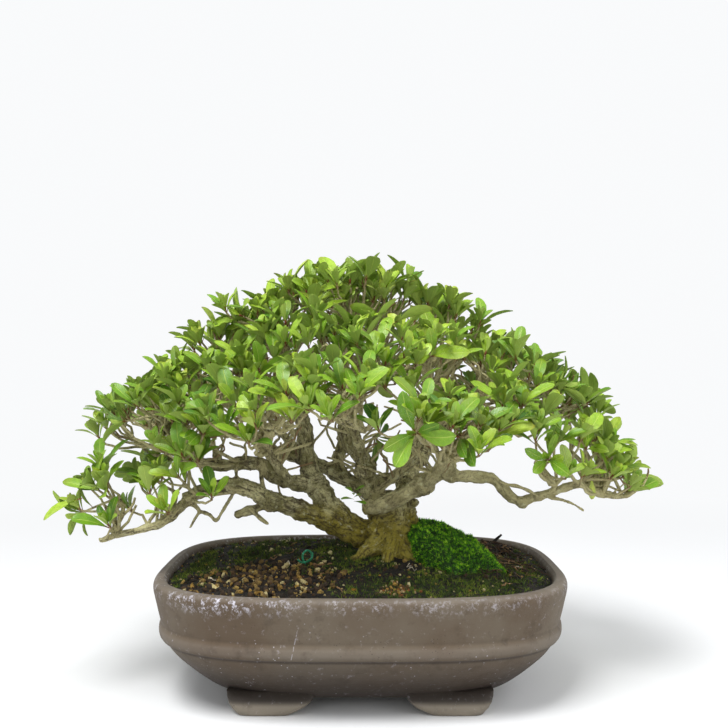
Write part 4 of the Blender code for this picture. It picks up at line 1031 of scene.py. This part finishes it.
# short pieces of wood: first radius, last radius, route
snags = {
    "root_left": (0.0085, 0.0038, [(0.020, -0.006, 0.107), (0.010, -0.017, 0.101), (0.001, -0.024, 0.096),
        (-0.006, -0.028, 0.091)]),
    "root_middle": (0.0080, 0.0050, [(0.026, -0.008, 0.108), (0.024, -0.019, 0.101), (0.021, -0.027, 0.095),
        (0.019, -0.032, 0.089)]),
    "root_front": (0.0085, 0.0050, [(0.030, -0.008, 0.106), (0.034, -0.018, 0.100), (0.038, -0.025, 0.095),
        (0.041, -0.030, 0.089)]),
    "root_right": (0.0080, 0.0040, [(0.036, -0.004, 0.106), (0.043, -0.010, 0.100), (0.048, -0.014, 0.095),
        (0.052, -0.018, 0.089)]),
    "cut_stub": (0.004, 0.003, [(-0.0671, -0.028, 0.1381), (-0.0757, -0.031, 0.1327),
        (-0.0837, -0.032, 0.1306), (-0.0916, -0.033, 0.1278)]),
    "pale_stub": (0.0019, 0.0016, [(-0.0797, -0.034, 0.1309), (-0.0736, -0.036, 0.1261),
        (-0.0677, -0.037, 0.1219)]),
    "zigzag": (0.0015, 0.0013, [(-0.1172, -0.042, 0.1322), (-0.1096, -0.04, 0.129), (-0.1054, -0.039, 0.1245),
        (-0.1012, -0.038, 0.1309), (-0.0982, -0.038, 0.136), (-0.0933, -0.037, 0.1439),
        (-0.0912, -0.036, 0.1525), (-0.0912, -0.036, 0.1628)]),
    "riser": (0.0024, 0.0018, [(-0.0717, -0.027, 0.1402), (-0.0733, -0.026, 0.1527),
        (-0.075, -0.024, 0.1651)]),
    "low_fork": (0.0019, 0.0012, [(-0.1259, -0.042, 0.1424), (-0.1207, -0.043, 0.1368),
        (-0.1169, -0.044, 0.1326), (-0.1198, -0.044, 0.1268), (-0.1232, -0.045, 0.1204)]),
    "thin_shoot": (0.0011, 0.0007, [(0.0141, -0.006, 0.1394), (0.0241, -0.005, 0.1485),
        (0.0334, -0.003, 0.1575), (0.042, 0, 0.1648)]),
    "bare_sprout": (0.001, 0.0007, [(0.0072, -0.01, 0.1316), (0.0018, -0.014, 0.136),
        (-0.0027, -0.016, 0.1409), (-0.0049, -0.017, 0.147)]),
    "second_rail": (0.0018, 0.0013, [(0.1032, -0.03, 0.1517), (0.1089, -0.031, 0.1497),
        (0.1154, -0.032, 0.149), (0.1226, -0.033, 0.1462), (0.1305, -0.034, 0.142)]),
    "right_twig": (0.0014, 0.001, [(0.1392, -0.031, 0.1401), (0.1484, -0.033, 0.1389),
        (0.1562, -0.034, 0.1361), (0.1641, -0.035, 0.1311)]),
    "right_rise": (0.0019, 0.0013, [(0.1564, -0.027, 0.1484), (0.1638, -0.027, 0.1521),
        (0.1712, -0.027, 0.1565), (0.1797, -0.026, 0.1676)]),
    "tip_side": (0.0012, 0.0008, [(0.1897, -0.022, 0.1432), (0.1934, -0.022, 0.1462),
        (0.1979, -0.022, 0.1499)]),
    "low_rise": (0.0014, 0.001, [(-0.175, -0.046, 0.1156), (-0.1776, -0.047, 0.1237),
        (-0.1816, -0.048, 0.1318), (-0.1859, -0.048, 0.1404)]),
    "low_spur": (0.001, 0.0007, [(-0.1764, -0.046, 0.1192), (-0.179, -0.047, 0.115),
        (-0.1809, -0.048, 0.1109)]),
}
# knots and swellings: place, radius
knots = [((-0.066, -0.032, 0.137), 0.0075), ((-0.074, -0.036, 0.142), 0.0058),
         ((-0.094, -0.040, 0.150), 0.0058), ((0.041, -0.008, 0.133), 0.0038),
         ((0.039, -0.006, 0.126), 0.0050), ((-0.124, -0.043, 0.141), 0.0056),
         ((0.004, -0.004, 0.158), 0.0085), ((-0.036, 0.002, 0.148), 0.0098), ((0.062, -0.030, 0.160), 0.0070),
         ((0.047, -0.028, 0.150), 0.0088), ((0.120, -0.027, 0.136), 0.0048), ((-0.043, 0.008, 0.180), 0.0072),
         ((0.010, -0.012, 0.114), 0.0055), ((0.022, -0.013, 0.117), 0.0050), ((0.036, 0.024, 0.143), 0.0085),
         ((0.016, -0.013, 0.110), 0.0045), ((0.033, -0.014, 0.114), 0.0048), ((0.027, -0.015, 0.113), 0.0040),
         ((0.030, -0.013, 0.107), 0.0042), ((0.040, 0.000, 0.119), 0.0046)]


def crownOutward(point):
    away = point - crownCentre
    away = Vector([part / size ** 2 for part, size in zip(away, crownSize)]).normalized()
    return (away + Vector((0, 0, 0.70))).normalized()


samples = []        # place, facing, other, distance along, radius


def limbTube(bm, points, first, last, sides, name):
    rng = random.Random(name)
    bumps = [(rng.uniform(0, 6.28), rng.uniform(0, 6.28)) for _ in range(3)]
    facing = before = None
    along = 0.0
    rings = []
    for i, point in enumerate(points):
        ahead = (points[min(i + 1, len(points) - 1)] - points[max(i - 1, 0)]).normalized()
        if facing is None:
            facing = ahead.orthogonal().normalized()
        else:
            facing = (before.rotation_difference(ahead) @ facing).normalized()
        before, other = ahead, ahead.cross(facing)
        along += (point - points[i - 1]).length if i else 0.0
        radius = first + (last - first) * i / (len(points) - 1)
        waves = math.sin(along * 260 + bumps[0][0]) + math.sin(along * 610 + bumps[1][0])
        radius *= 1 + woodShape["knob"] * waves
        ring = []
        for k in range(sides):
            turn = 2 * math.pi * k / sides
            swell = 1 + 0.06 * math.cos(2 * turn + bumps[0][1])
            swell += 0.04 * math.cos(3 * turn + along * 60 + bumps[2][1])
            away = facing * math.cos(turn) + other * math.sin(turn)
            ring.append(bm.verts.new(point + away * radius * swell))
        rings.append(ring)
        samples.append((point, facing.copy(), other, along, radius))
    for at, near, radius in ((0, 1, first), (-1, -2, last)):        # a blunt point at each end
        away = (points[at] - points[near]).normalized()
        tip = bm.verts.new(points[at] + away * radius * 0.6)
        for k in range(sides):
            bm.faces.new((rings[at][k], rings[at][(k + 1) % sides], tip))
    bridge(bm, rings, False)


bm = bmesh.new()
rings = []
for low, high in zip(flare, flare[1:]):
    for step in range(3):
        z, radius, ridge, middle = [a + (b - a) * step / 3 for a, b in zip(low, high)]
        ring = []
        for i in range(woodShape["flareSides"]):
            turn = 2 * math.pi * i / woodShape["flareSides"]
            swell = 1 + ridge * math.cos(5 * turn + 0.9) + 0.4 * ridge * math.cos(2 * turn)
            reach = radius * swell
            ring.append(bm.verts.new((middle + reach * math.cos(turn), reach * math.sin(turn), z)))
        rings.append(ring)
        samples.append((Vector((middle, 0, z)), Vector((1, 0, 0)), Vector((0, 1, 0)), z, radius))
bridge(bm, rings)
routes = {name: lineUp(points, woodShape["routeStep"]) for name, (_, _, points) in limbs.items()}
for name, (first, last, points) in limbs.items():
    limbTube(bm, lineUp(points, woodShape["limbStep"]), first, last, woodShape["limbSides"], name)
for name, (first, last, points) in snags.items():
    limbTube(bm, lineUp(points, woodShape["snagStep"]), first, last, woodShape["snagSides"], name)
for spot, radius in knots:
    bmesh.ops.create_icosphere(bm, subdivisions=2, radius=radius, matrix=Matrix.Translation(spot))
wood = place("trunk_limbs", meshFrom("trunk_limbs", bm))
modifier = wood.modifiers.new("skin", "REMESH")
modifier.mode, modifier.voxel_size, modifier.use_smooth_shade = "VOXEL", woodShape["voxel"], True
modifier = wood.modifiers.new("ease", "SMOOTH")
modifier.factor, modifier.iterations = 0.5, 2
evaluated(wood)
mesh = wood.data
tree = KDTree(len(samples))
for i, sample in enumerate(samples):
    tree.insert(sample[0], i)
tree.balance()
spots, normals = readPoints(mesh), readPoints(mesh, "normal")
grainAt, girths, moved = [], [], spots.copy()
for i, (spot, normal) in enumerate(zip(spots.tolist(), normals.tolist())):
    spot = Vector(spot)
    point, facing, other, along, radius = samples[tree.find(spot)[1]]
    offset = spot - point
    ahead = facing.cross(other)
    inLimb = Vector((offset.dot(facing), offset.dot(other), along + offset.dot(ahead)))
    grainAt.append(inLimb)
    girths.append(max(radius, 0.0011))
    size = min(1.5, radius / 0.009)
    lump = noise.noise(spot * 130) + 0.6 * noise.noise(spot * 300) + 0.3 * noise.noise(spot * 700)
    ridge = 0.4 - abs(noise.noise(Vector((inLimb.x * 420, inLimb.y * 420, inLimb.z * 60))) * 2)
    moved[i] += np.array(normal) * size * (woodShape["lump"] * lump + woodShape["flute"] * ridge)
mesh.vertices.foreach_set("co", moved.ravel())
store(mesh, "grain", grainAt, "FLOAT_VECTOR")
store(mesh, "girth", girths)
mesh.materials.append(barkMade)
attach(wood, "root")
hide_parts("wood")
print("wood made", len(mesh.polygons))

# foliage
sprayShape = {"seed": 41, "stem": 0.026, "whorls": 8, "leaves": (7, 10), "length": (0.010, 0.0215),
              "moreLeaves": (3, 4), "moreLength": (0.012, 0.020), "reach": (0.010, 0.030), "long": 0.16,
              "longTwig": 0.085, "bare": 9, "depth": 0.138, "sides": 6}
# limbs whose pads are more open than the rest: whorls for each shoot
openPads = {"left_low_tip": 5, "left_low": 5, "left_mid": 7, "right_low": 6, "right_up": 7, "right_front": 7}
# share of a leaf's length, share of its half-width
leafOutline = [(0.0, 0.05), (0.14, 0.14), (0.34, 0.50), (0.55, 0.90), (0.73, 1.0), (0.88, 0.80),
               (0.96, 0.50), (1.0, 0.10)]
# half-width, fold, curl and wave of each kind of leaf
leafKinds = [(0.165, 0.32, 0.10, 0.008), (0.185, 0.24, 0.04, 0.012), (0.150, 0.46, 0.16, 0.008),
             (0.178, 0.30, 0.20, 0.014), (0.165, 0.60, -0.10, 0.006), (0.182, 0.42, -0.04, 0.010)]
# height and half-width of a bud
budOutline = [(0.0, 0.10), (0.25, 0.20), (0.6, 0.16), (0.9, 0.05)]


def leafMesh(width, fold, curl, wave, seed):        # one unit long from the origin along +Y, upper side +Z
    rng = random.Random(seed)
    skew = rng.uniform(-0.05, 0.05)
    columns = (-1.0, -0.5, 0.0, 0.5, 1.0)
    bm = bmesh.new()
    chart = bm.loops.layers.uv.new("leafMap")

    def spot(row, across, side):
        along, share = leafOutline[row]
        x = across * share * width
        z = abs(x) * fold - curl * along ** 2 + 0.05 * math.sin(along * math.pi)
        z += wave * math.sin(along * 9 + seed + across) * abs(across) * share
        depth = 0 if abs(across) == 1 else 0.013 * side * (1 - 0.5 * abs(across))
        return Vector((x + skew * math.sin(along * math.pi), along, z + depth))

    rows = range(len(leafOutline))
    top = [[bm.verts.new(spot(r, c, 1)) for c in columns] for r in rows]
    under = [[top[r][0], bm.verts.new(spot(r, 0.0, -1)), top[r][4]] for r in rows]
    for sheet, ways, shift in ((top, columns, 0.0), (under, (-1.0, 0.0, 1.0), 2.0)):
        for r in rows[:-1]:
            for k in range(len(ways) - 1):
                corners = [(r, k), (r, k + 1), (r + 1, k + 1), (r + 1, k)][::-1 if shift else 1]
                face = bm.faces.new([sheet[a][b] for a, b in corners])
                for loop, (a, b) in zip(face.loops, corners):
                    loop[chart].uv = (shift + (ways[b] + 1) / 2, leafOutline[a][0])
    for row in (0, -1):
        ends = top[row] + [under[row][1]]
        face = bm.faces.new(ends if row else ends[::-1])
        for loop in face.loops:
            loop[chart].uv = (0.5, 0.0 if row == 0 else 1.0)
    for edge in bm.edges:
        if len({face.loops[0][chart].uv.x > 1.5 for face in edge.link_faces}) == 2:
            edge.smooth = False
    mesh = bpy.data.meshes.new("leaf")
    bm.to_mesh(mesh)
    bm.free()
    mesh.polygons.foreach_set("use_smooth", [True] * len(mesh.polygons))
    return mesh


def budMesh():
    bm = bmesh.new()
    rings = []
    for y, half in budOutline:
        turns = [a * 1.0472 for a in range(6)]
        rings.append([bm.verts.new((half * math.cos(turn), y, half * math.sin(turn))) for turn in turns])
    bridge(bm, rings)
    return meshFrom("bud", bm)


leafShapes = [leafMesh(*kind, seed) for seed, kind in enumerate(leafKinds, 1)]
leaves = shapeSet("leaf", leafShapes + [budMesh()])


class Spray:        # the leaves and fine twigs of one limb
    def __init__(self):
        self.leaves = []
        self.lines = []

    def leaf(self, root, along, up, length, pick, tint, age, width=1.0, bud=0.0):
        along = along.normalized()
        side = along.cross(up).normalized()
        up = side.cross(along).normalized()
        turn = Matrix((side, along, up)).transposed().to_euler()
        self.leaves.append((root, turn, (length * width, length, length), pick, tint, age, bud))

    def whorl(self, start, tip, given, count, lengths, tint, age, rng):
        # leaves round a twig's tip: the given ones, then more, the later ones shorter and more upright
        direction = (tip - start).normalized()
        around = direction.orthogonal().normalized()
        first = rng.uniform(0, 360)
        for root, along, length in given:
            along = (along + Vector((0, 0, 0.38)) + direction * 0.20).normalized()
            self.leaf(root, along, direction, length * rng.uniform(0.68, 0.90), rng.choice((0, 1, 2, 3)),
                      tint + rng.uniform(-0.15, 0.10), age + rng.uniform(-0.2, 0.3), rng.uniform(0.9, 1.05))
        for n in range(count):
            late = n / max(1, count - 1)
            lean = 54 - 40 * late + rng.uniform(-10, 10)
            hinge = turned(around, direction, first + 137.5 * n + rng.uniform(-14, 14))
            along = (turned(direction, hinge, lean) + Vector((0, 0, 0.22))).normalized()
            length = lengths[1] + (lengths[0] - lengths[1]) * late + rng.uniform(-0.002, 0.003)
            if late < 0.4 and rng.random() < sprayShape["long"]:
                length += 0.008
            root = tip - direction * 0.004 * (1 - late) + along * 0.0006
            pick = rng.choice((4, 5, 4)) if late > 0.6 else rng.choice((0, 1, 2, 3, 5))
            self.leaf(root, along, direction, length, pick, tint + 0.25 * late + rng.uniform(-0.24, 0.20),
                      age * (1 - late) + rng.uniform(-0.1, 0.2), rng.uniform(0.9, 1.15))
        self.leaf(tip, direction, around, rng.uniform(0.003, 0.005), 6, 0.5, 0.5, 1.0, 1.0)

    def line(self, points, first, last):
        self.lines.append((points, first, last))

    def twig(self, root, tip, axis, first, last, rng):        # kinked, and it ends along the axis
        span = (tip - root).length
        count = max(2, round(span / 0.0065))
        side = (tip - root).orthogonal().normalized()
        points = [root]
        for i in range(1, count):
            share = i / count
            bow = 0.10 * span * math.sin(share * math.pi)
            kink = Vector([rng.uniform(-1, 1) for _ in range(3)]) * 0.0013
            points.append(root.lerp(tip - axis * 0.005, share) + side * bow + kink)
        self.line(points + [tip - axis * 0.003, tip], first, last)


def branchletStart(route, goal):
    best = None
    for i in range(1, len(route)):
        cost = (goal - route[i]).length + max(0.0, 0.012 - goal.z + route[i].z) * 3
        if best is None or cost < best[0]:
            best = (cost, route[i], (route[i] - route[i - 1]).normalized())
    return best[1], best[2]


def branchletRoute(start, along, goal, outward, rng):
    span = (goal - start).length
    side = outward.cross(along)
    side = (side if side.length >= 0.1 else outward.orthogonal()).normalized()
    bow, kink = side * rng.uniform(-0.16, 0.16) * span, side * rng.uniform(-0.08, 0.08) * span
    first = start + (along * 0.20 + (goal - start).normalized() * 0.16) * span + bow * 0.5
    second = start.lerp(goal, 0.62) - outward * 0.03 * span + bow + kink
    return lineUp([start, first, second, goal], 0.026)


def whorlPlan(start, tip, rng):        # the same draws in the same order as the part's own leaves
    direction = (tip - start).normalized()
    around = direction.orthogonal().normalized()
    first = rng.uniform(0.0, 360.0)
    made = []
    for n in range(3 + (1 if rng.random() < 0.75 else 0)):
        turn = first + 120 * n + rng.uniform(-9.0, 9.0)
        lean = rng.uniform(*((70, 84) if n == 3 else (48, 74)))
        along = turned(direction, turned(around, direction, turn), lean)
        down = 0.0020 + (rng.uniform(0.006, 0.009) if n == 3 else 0.0)
        made.append((tip - direction * down, along, rng.uniform(0.028, 0.037)))
    return start, tip, made


sprays = {}
for index, (limb, centre) in enumerate(shoots):
    spray = sprays.setdefault(limb, Spray())
    middle = Vector(centre)
    outward = crownOutward(middle)
    goal = middle - outward * sprayShape["stem"]
    rng = random.Random(sprayShape["seed"] * 100 + index)
    start, along = branchletStart(routes[limb], goal)
    route = branchletRoute(start, along, goal, outward, rng)
    spray.line(lineUp(route, 0.004), 0.0024, 0.0015)
    rng = random.Random(sprayShape["seed"] * 100 + index + 7)
    base = goal + outward * 0.0003
    fork = base + outward * 0.009
    mainTip = fork + (outward + Vector((0, 0, 0.2))).normalized() * rng.uniform(0.013, 0.017)
    tilt = turned(outward.orthogonal().normalized(), outward, rng.uniform(0.0, 360.0))
    sideTip = fork + turned(outward, tilt, rng.uniform(52, 68)) * rng.uniform(0.019, 0.025)
    plans = [whorlPlan(fork, mainTip, rng), whorlPlan(fork, sideTip, rng)]
    spray.line([goal - outward * 0.002, fork], 0.0015, 0.0012)
    # higher shoots are tinted lighter: partly younger growth, partly painted light on the top of the crown
    tint = 0.28 + 0.25 * rng.random() + max(0.0, (middle.z - 0.2) * 1.0)
    age = rng.uniform(0.2, 0.8)
    for root, tip, made in plans:
        kink = Vector((rng.uniform(-1, 1), rng.uniform(-1, 1), 0)) * 0.0008
        spray.line([root, root.lerp(tip, 0.5) + kink, tip], 0.0011, 0.0008)
        spray.whorl(root, tip, made, rng.randint(*sprayShape["moreLeaves"]), sprayShape["moreLength"],
                    tint, age, rng)
    whorls = openPads.get(limb, sprayShape["whorls"])
    for n in range(whorls):
        turn = 360 * n / whorls + rng.uniform(-20, 20)
        lateral = turned(tilt, outward, turn)
        tip = goal + outward * rng.uniform(0.012, 0.030) + lateral * rng.uniform(*sprayShape["reach"])
        tip.y = min(sprayShape["depth"], max(-sprayShape["depth"], tip.y))
        axis = (lateral * 0.35 + outward * 0.5 + Vector((0, 0, 0.65))).normalized()
        if n % 3 == 0:        # a long thin twig straight from the limb
            limbRoute = routes[limb]
            root = limbRoute[rng.randrange(len(limbRoute) // 2, len(limbRoute))]
            if (root - tip).length > sprayShape["longTwig"]:
                root = start
        else:
            root = route[-1 - rng.randrange(min(3, len(route)))]
        spray.twig(root, tip, axis, 0.0009 + 0.010 * (tip - root).length, 0.0007, rng)
        spray.whorl(tip - axis, tip, [], rng.randint(*sprayShape["leaves"]), sprayShape["length"],
                    tint + rng.uniform(-0.20, 0.15), age, rng)
    for n in range(sprayShape["bare"] if middle.z > 0.19 else 2):        # leafless twigs below the leaves
        source = routes[limb][len(routes[limb]) // 3:] if n % 2 else route[1:]
        way = Vector([rng.uniform(-1, 1), rng.uniform(-1, 1), rng.uniform(0.0, 1.4)]).normalized()
        bends = [source[rng.randrange(len(source))]]
        for _ in range(rng.randint(4, 7)):
            way = (way + Vector([rng.uniform(-0.6, 0.6) for _ in range(3)])).normalized()
            way.z = max(way.z, 0.25)
            bends.append(bends[-1] + way * rng.uniform(0.0035, 0.0065))
        spray.line(bends, rng.uniform(0.0008, 0.0012), rng.choice((0.0006, 0.0009)))


# bare twigs that net the space under the crown
netShape = {"seed": 77, "each": 8, "top": 0.232}
netLimbs = ("left_mid", "cross", "left_up", "cross_up", "centre_left", "centre", "front_left", "front_mid",
            "centre_right", "right_up", "right_front", "right_back")
for limb in netLimbs:
    rng = random.Random(netShape["seed"] + netLimbs.index(limb))
    source = routes[limb][len(routes[limb]) // 4:]
    for n in range(netShape["each"]):
        bends = [source[rng.randrange(len(source))]]
        way = Vector([rng.uniform(-1, 1), rng.uniform(-1, 1), rng.uniform(0.2, 1.2)]).normalized()
        for _ in range(rng.randint(6, 10)):
            way = (way + Vector([rng.uniform(-0.7, 0.7) for _ in range(3)])).normalized()
            way.z = max(way.z, 0.26)
            if bends[-1].z < netShape["top"]:
                bends.append(bends[-1] + way * rng.uniform(0.004, 0.0065))
        if len(bends) > 2:
            sprays[limb].line(bends, rng.uniform(0.0011, 0.0017), 0.0008)

# showy whorls: limb, tip, axis, leaves, lengths, tint
showy = [("right_front", (0.0895, -0.078, 0.186), (0.1, -0.7, 0.7), 9, (0.020, 0.034), 0.62),
         ("right_low", (0.186, -0.030, 0.160), (0.6, -0.2, 0.7), 7, (0.014, 0.026), 0.45),
         ("left_low_tip", (-0.182, -0.052, 0.150), (-0.5, -0.2, 0.8), 8, (0.012, 0.024), 0.55),
         ("left_low_tip", (-0.150, -0.054, 0.148), (0.0, -0.2, 0.9), 8, (0.012, 0.022), 0.66),
         ("centre", (0.012, -0.008, 0.182), (0.5, -0.3, -0.6), 7, (0.012, 0.020), 0.10),
         ("right_front", (0.064, -0.090, 0.196), (-0.1, -0.6, 0.8), 8, (0.018, 0.032), 0.60)]
for limb, tip, axis, count, lengths, tint in showy:
    tip, axis = Vector(tip), Vector(axis).normalized()
    rng = random.Random(tip.x)
    root = min(routes[limb], key=lambda point: (point - tip).length)
    sprays[limb].twig(root, tip, axis, 0.0016, 0.0008, rng)
    sprays[limb].whorl(tip - axis, tip, [], count, lengths, tint, 0.4, rng)
# single leaves: limb, root, direction, facing, length, tint
single = [("centre", (0.021, -0.058, 0.268), (-0.9, -0.1, 0.42), (0.0, 0.6, 0.8), 0.031, 0.85),
          ("centre", (0.023, -0.060, 0.267), (0.88, -0.1, 0.38), (0.0, 0.6, 0.8), 0.030, 0.85),
          ("centre", (-0.018, -0.010, 0.290), (0.66, 0.0, 0.75), (-0.5, 0.8, 0.4), 0.038, 0.7),
          ("left_low_tip", (-0.199, -0.052, 0.143), (-0.85, -0.2, -0.45), (-0.3, -0.5, 0.8), 0.030, 0.7),
          ("right_low", (0.171, -0.030, 0.156), (0.0, -0.1, -1.0), (0.3, -0.9, 0.0), 0.017, 1.0)]
for n in range(6):
    turn = n * 2.4
    root = (-0.005, -0.0165, 0.1430 - n * 0.0015)
    along = (math.cos(turn) * 0.8, math.sin(turn) * 0.8, 0.45 - n * 0.1)
    single.append(("left_low", root, along, (0.0, -0.4, 0.9), 0.009 + 0.001 * (n % 3), 0.25))
for limb, root, along, facing, length, tint in single:
    sprays[limb].leaf(Vector(root), Vector(along), Vector(facing), length, 1, tint, 0.4, 0.95)


def foliagePiece(name, group):
    held = [leaf for limb in group for leaf in sprays[limb].leaves]
    mesh = bpy.data.meshes.new(name)
    mesh.from_pydata([leaf[0] for leaf in held], [], [])
    store(mesh, "turn", [tuple(leaf[1]) for leaf in held], "FLOAT_VECTOR")
    store(mesh, "size", [leaf[2] for leaf in held], "FLOAT_VECTOR")
    store(mesh, "pick", [leaf[3] for leaf in held], "INT")
    for at, label in ((4, "tint"), (5, "age"), (6, "bud")):
        store(mesh, label, [min(1.0, max(0.0, leaf[at])) for leaf in held])
    piece = grown(place(name, mesh), stand, Shapes=leaves, Look=leafMade)
    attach(piece, "root")
    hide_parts(*[f"spray_{i + 1:02d}" for i, (limb, _) in enumerate(shoots) if limb in group])
    return len(held)


groups = {"leaves_left_low": ("left_low_tip", "left_low"), "leaves_left_mid": ("left_mid",),
          "leaves_left_up": ("left_up",), "leaves_front": ("front_left", "front_mid"),
          "leaves_back_left": ("cross", "back_left"), "leaves_top_left": ("centre_left", "cross_up"),
          "leaves_top": ("centre",), "leaves_top_right": ("centre_right",),
          "leaves_right_up": ("right_up",), "leaves_right_front": ("right_front",),
          "leaves_right_low": ("right_low",), "leaves_back_right": ("right_back", "back_right"),
          "leaves_back": ("back_centre",)}
total = sum(foliagePiece(name, group) for name, group in groups.items())
print("leaves made", total)

lines = [line for spray in sprays.values() for line in spray.lines]
twigs = twigPiece("young_twigs", lines, sprayShape["sides"], barkMade)
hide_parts("wood")

# tie wire and drain screens
tieWire = {"step": 0.0008, "radius": 0.00075, "wrapRadius": 0.0004, "wrapReach": 0.0011, "wrapPoints": 48,
           "wrapTurn": 0.7, "sides": 12}
tieRoute = [(-0.0400, -0.0390, 0.0850), (-0.0400, -0.0390, 0.0915), (-0.0420, -0.0390, 0.0965),
            (-0.0418, -0.0388, 0.1005), (-0.0388, -0.0386, 0.1030), (-0.0358, -0.0388, 0.1010),
            (-0.0355, -0.0396, 0.0975), (-0.0385, -0.0412, 0.0955), (-0.0425, -0.0424, 0.0950),
            (-0.0455, -0.0428, 0.0972)]
tie = lineUp(tieRoute, tieWire["step"])
wrap = []
for i in range(tieWire["wrapPoints"]):        # a thinner strand wound round the loop's lower half
    at = tie[len(tie) * 5 // 8 + i * (len(tie) // 5) // tieWire["wrapPoints"]]
    across, up = math.cos(i * tieWire["wrapTurn"]), math.sin(i * tieWire["wrapTurn"])
    wrap.append(at + Vector((across * 0.5, up, across)) * tieWire["wrapReach"])
lines = [(tie, tieWire["radius"], tieWire["radius"]), (wrap, tieWire["wrapRadius"], tieWire["wrapRadius"])]
wire = twigPiece("tie_wire_loop", lines, tieWire["sides"], paint("wire", wireGreen))
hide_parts("tie_wire")
screenMade = paint("screen", meshPlastic)
for name in ("drain_screen_1", "drain_screen_2"):
    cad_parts[name].data.materials.clear()
    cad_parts[name].data.materials.append(screenMade)
print("trim made")

# floor, light and camera
studio = {"floor": 60.0, "around": 0.97, "above": 0.51, "colour": (0.98, 0.99, 1.0, 1.0)}
# name, place, size, power
lamps = [("key", (-0.45, -0.75, 1.7), 0.8, 35.0), ("fill", (1.2, -0.5, 1.0), 1.0, 9.0)]
view = {"place": (0.0026, -0.700, 0.239), "lens": 44.8, "sensor": 36.0, "nearest": 0.01}
bm = bmesh.new()
bmesh.ops.create_grid(bm, x_segments=1, y_segments=1, size=studio["floor"])
floorMade = paint("floor", paleFloor, Emission_Strength=1.0, Specular_IOR_Level=0.0)
floor = place("floor", meshFrom("floor", bm), floorMade)
floor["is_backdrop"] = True
world = bpy.context.scene.world or bpy.data.worlds.new("sky")
bpy.context.scene.world = world
world.use_nodes = True
sky = Graph(world.node_tree)
upward = split(sky, sky.node("ShaderNodeTexCoord", None, None, "Generated"))[2]
strength = studio["around"] + upward.over(0.40, 0.62) * (studio["above"] - studio["around"])
background = world.node_tree.nodes["Background"]
world.node_tree.links.new(strength.socket, background.inputs["Strength"])
background.inputs["Color"].default_value = studio["colour"]
for label, spot, size, power in lamps:
    lamp = bpy.data.lights.new(label, "AREA")
    lamp.size, lamp.energy = size, power
    made = bpy.data.objects.new(label, lamp)
    made.location = spot
    made.rotation_euler = (Vector((0, 0, 0.15)) - Vector(spot)).to_track_quat("-Z", "Y").to_euler()
    bpy.context.collection.objects.link(made)
lens = bpy.data.cameras.new("camera")
lens.lens, lens.sensor_width, lens.clip_start = view["lens"], view["sensor"], view["nearest"]
camera = bpy.data.objects.new("camera", lens)
camera.location, camera.rotation_euler = view["place"], (math.radians(90), 0, 0)
bpy.context.collection.objects.link(camera)
bpy.context.scene.camera = camera
bpy.context.scene.view_settings.view_transform = "Standard"

triangles = {}
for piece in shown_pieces():
    triangles[piece.name] = sum(len(face.vertices) - 2 for face in piece.data.polygons)
print("triangles", sum(triangles.values()), max(triangles.values()), triangles)
low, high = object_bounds()
print("bounds", [round(v, 4) for v in low], [round(v, 4) for v in high])
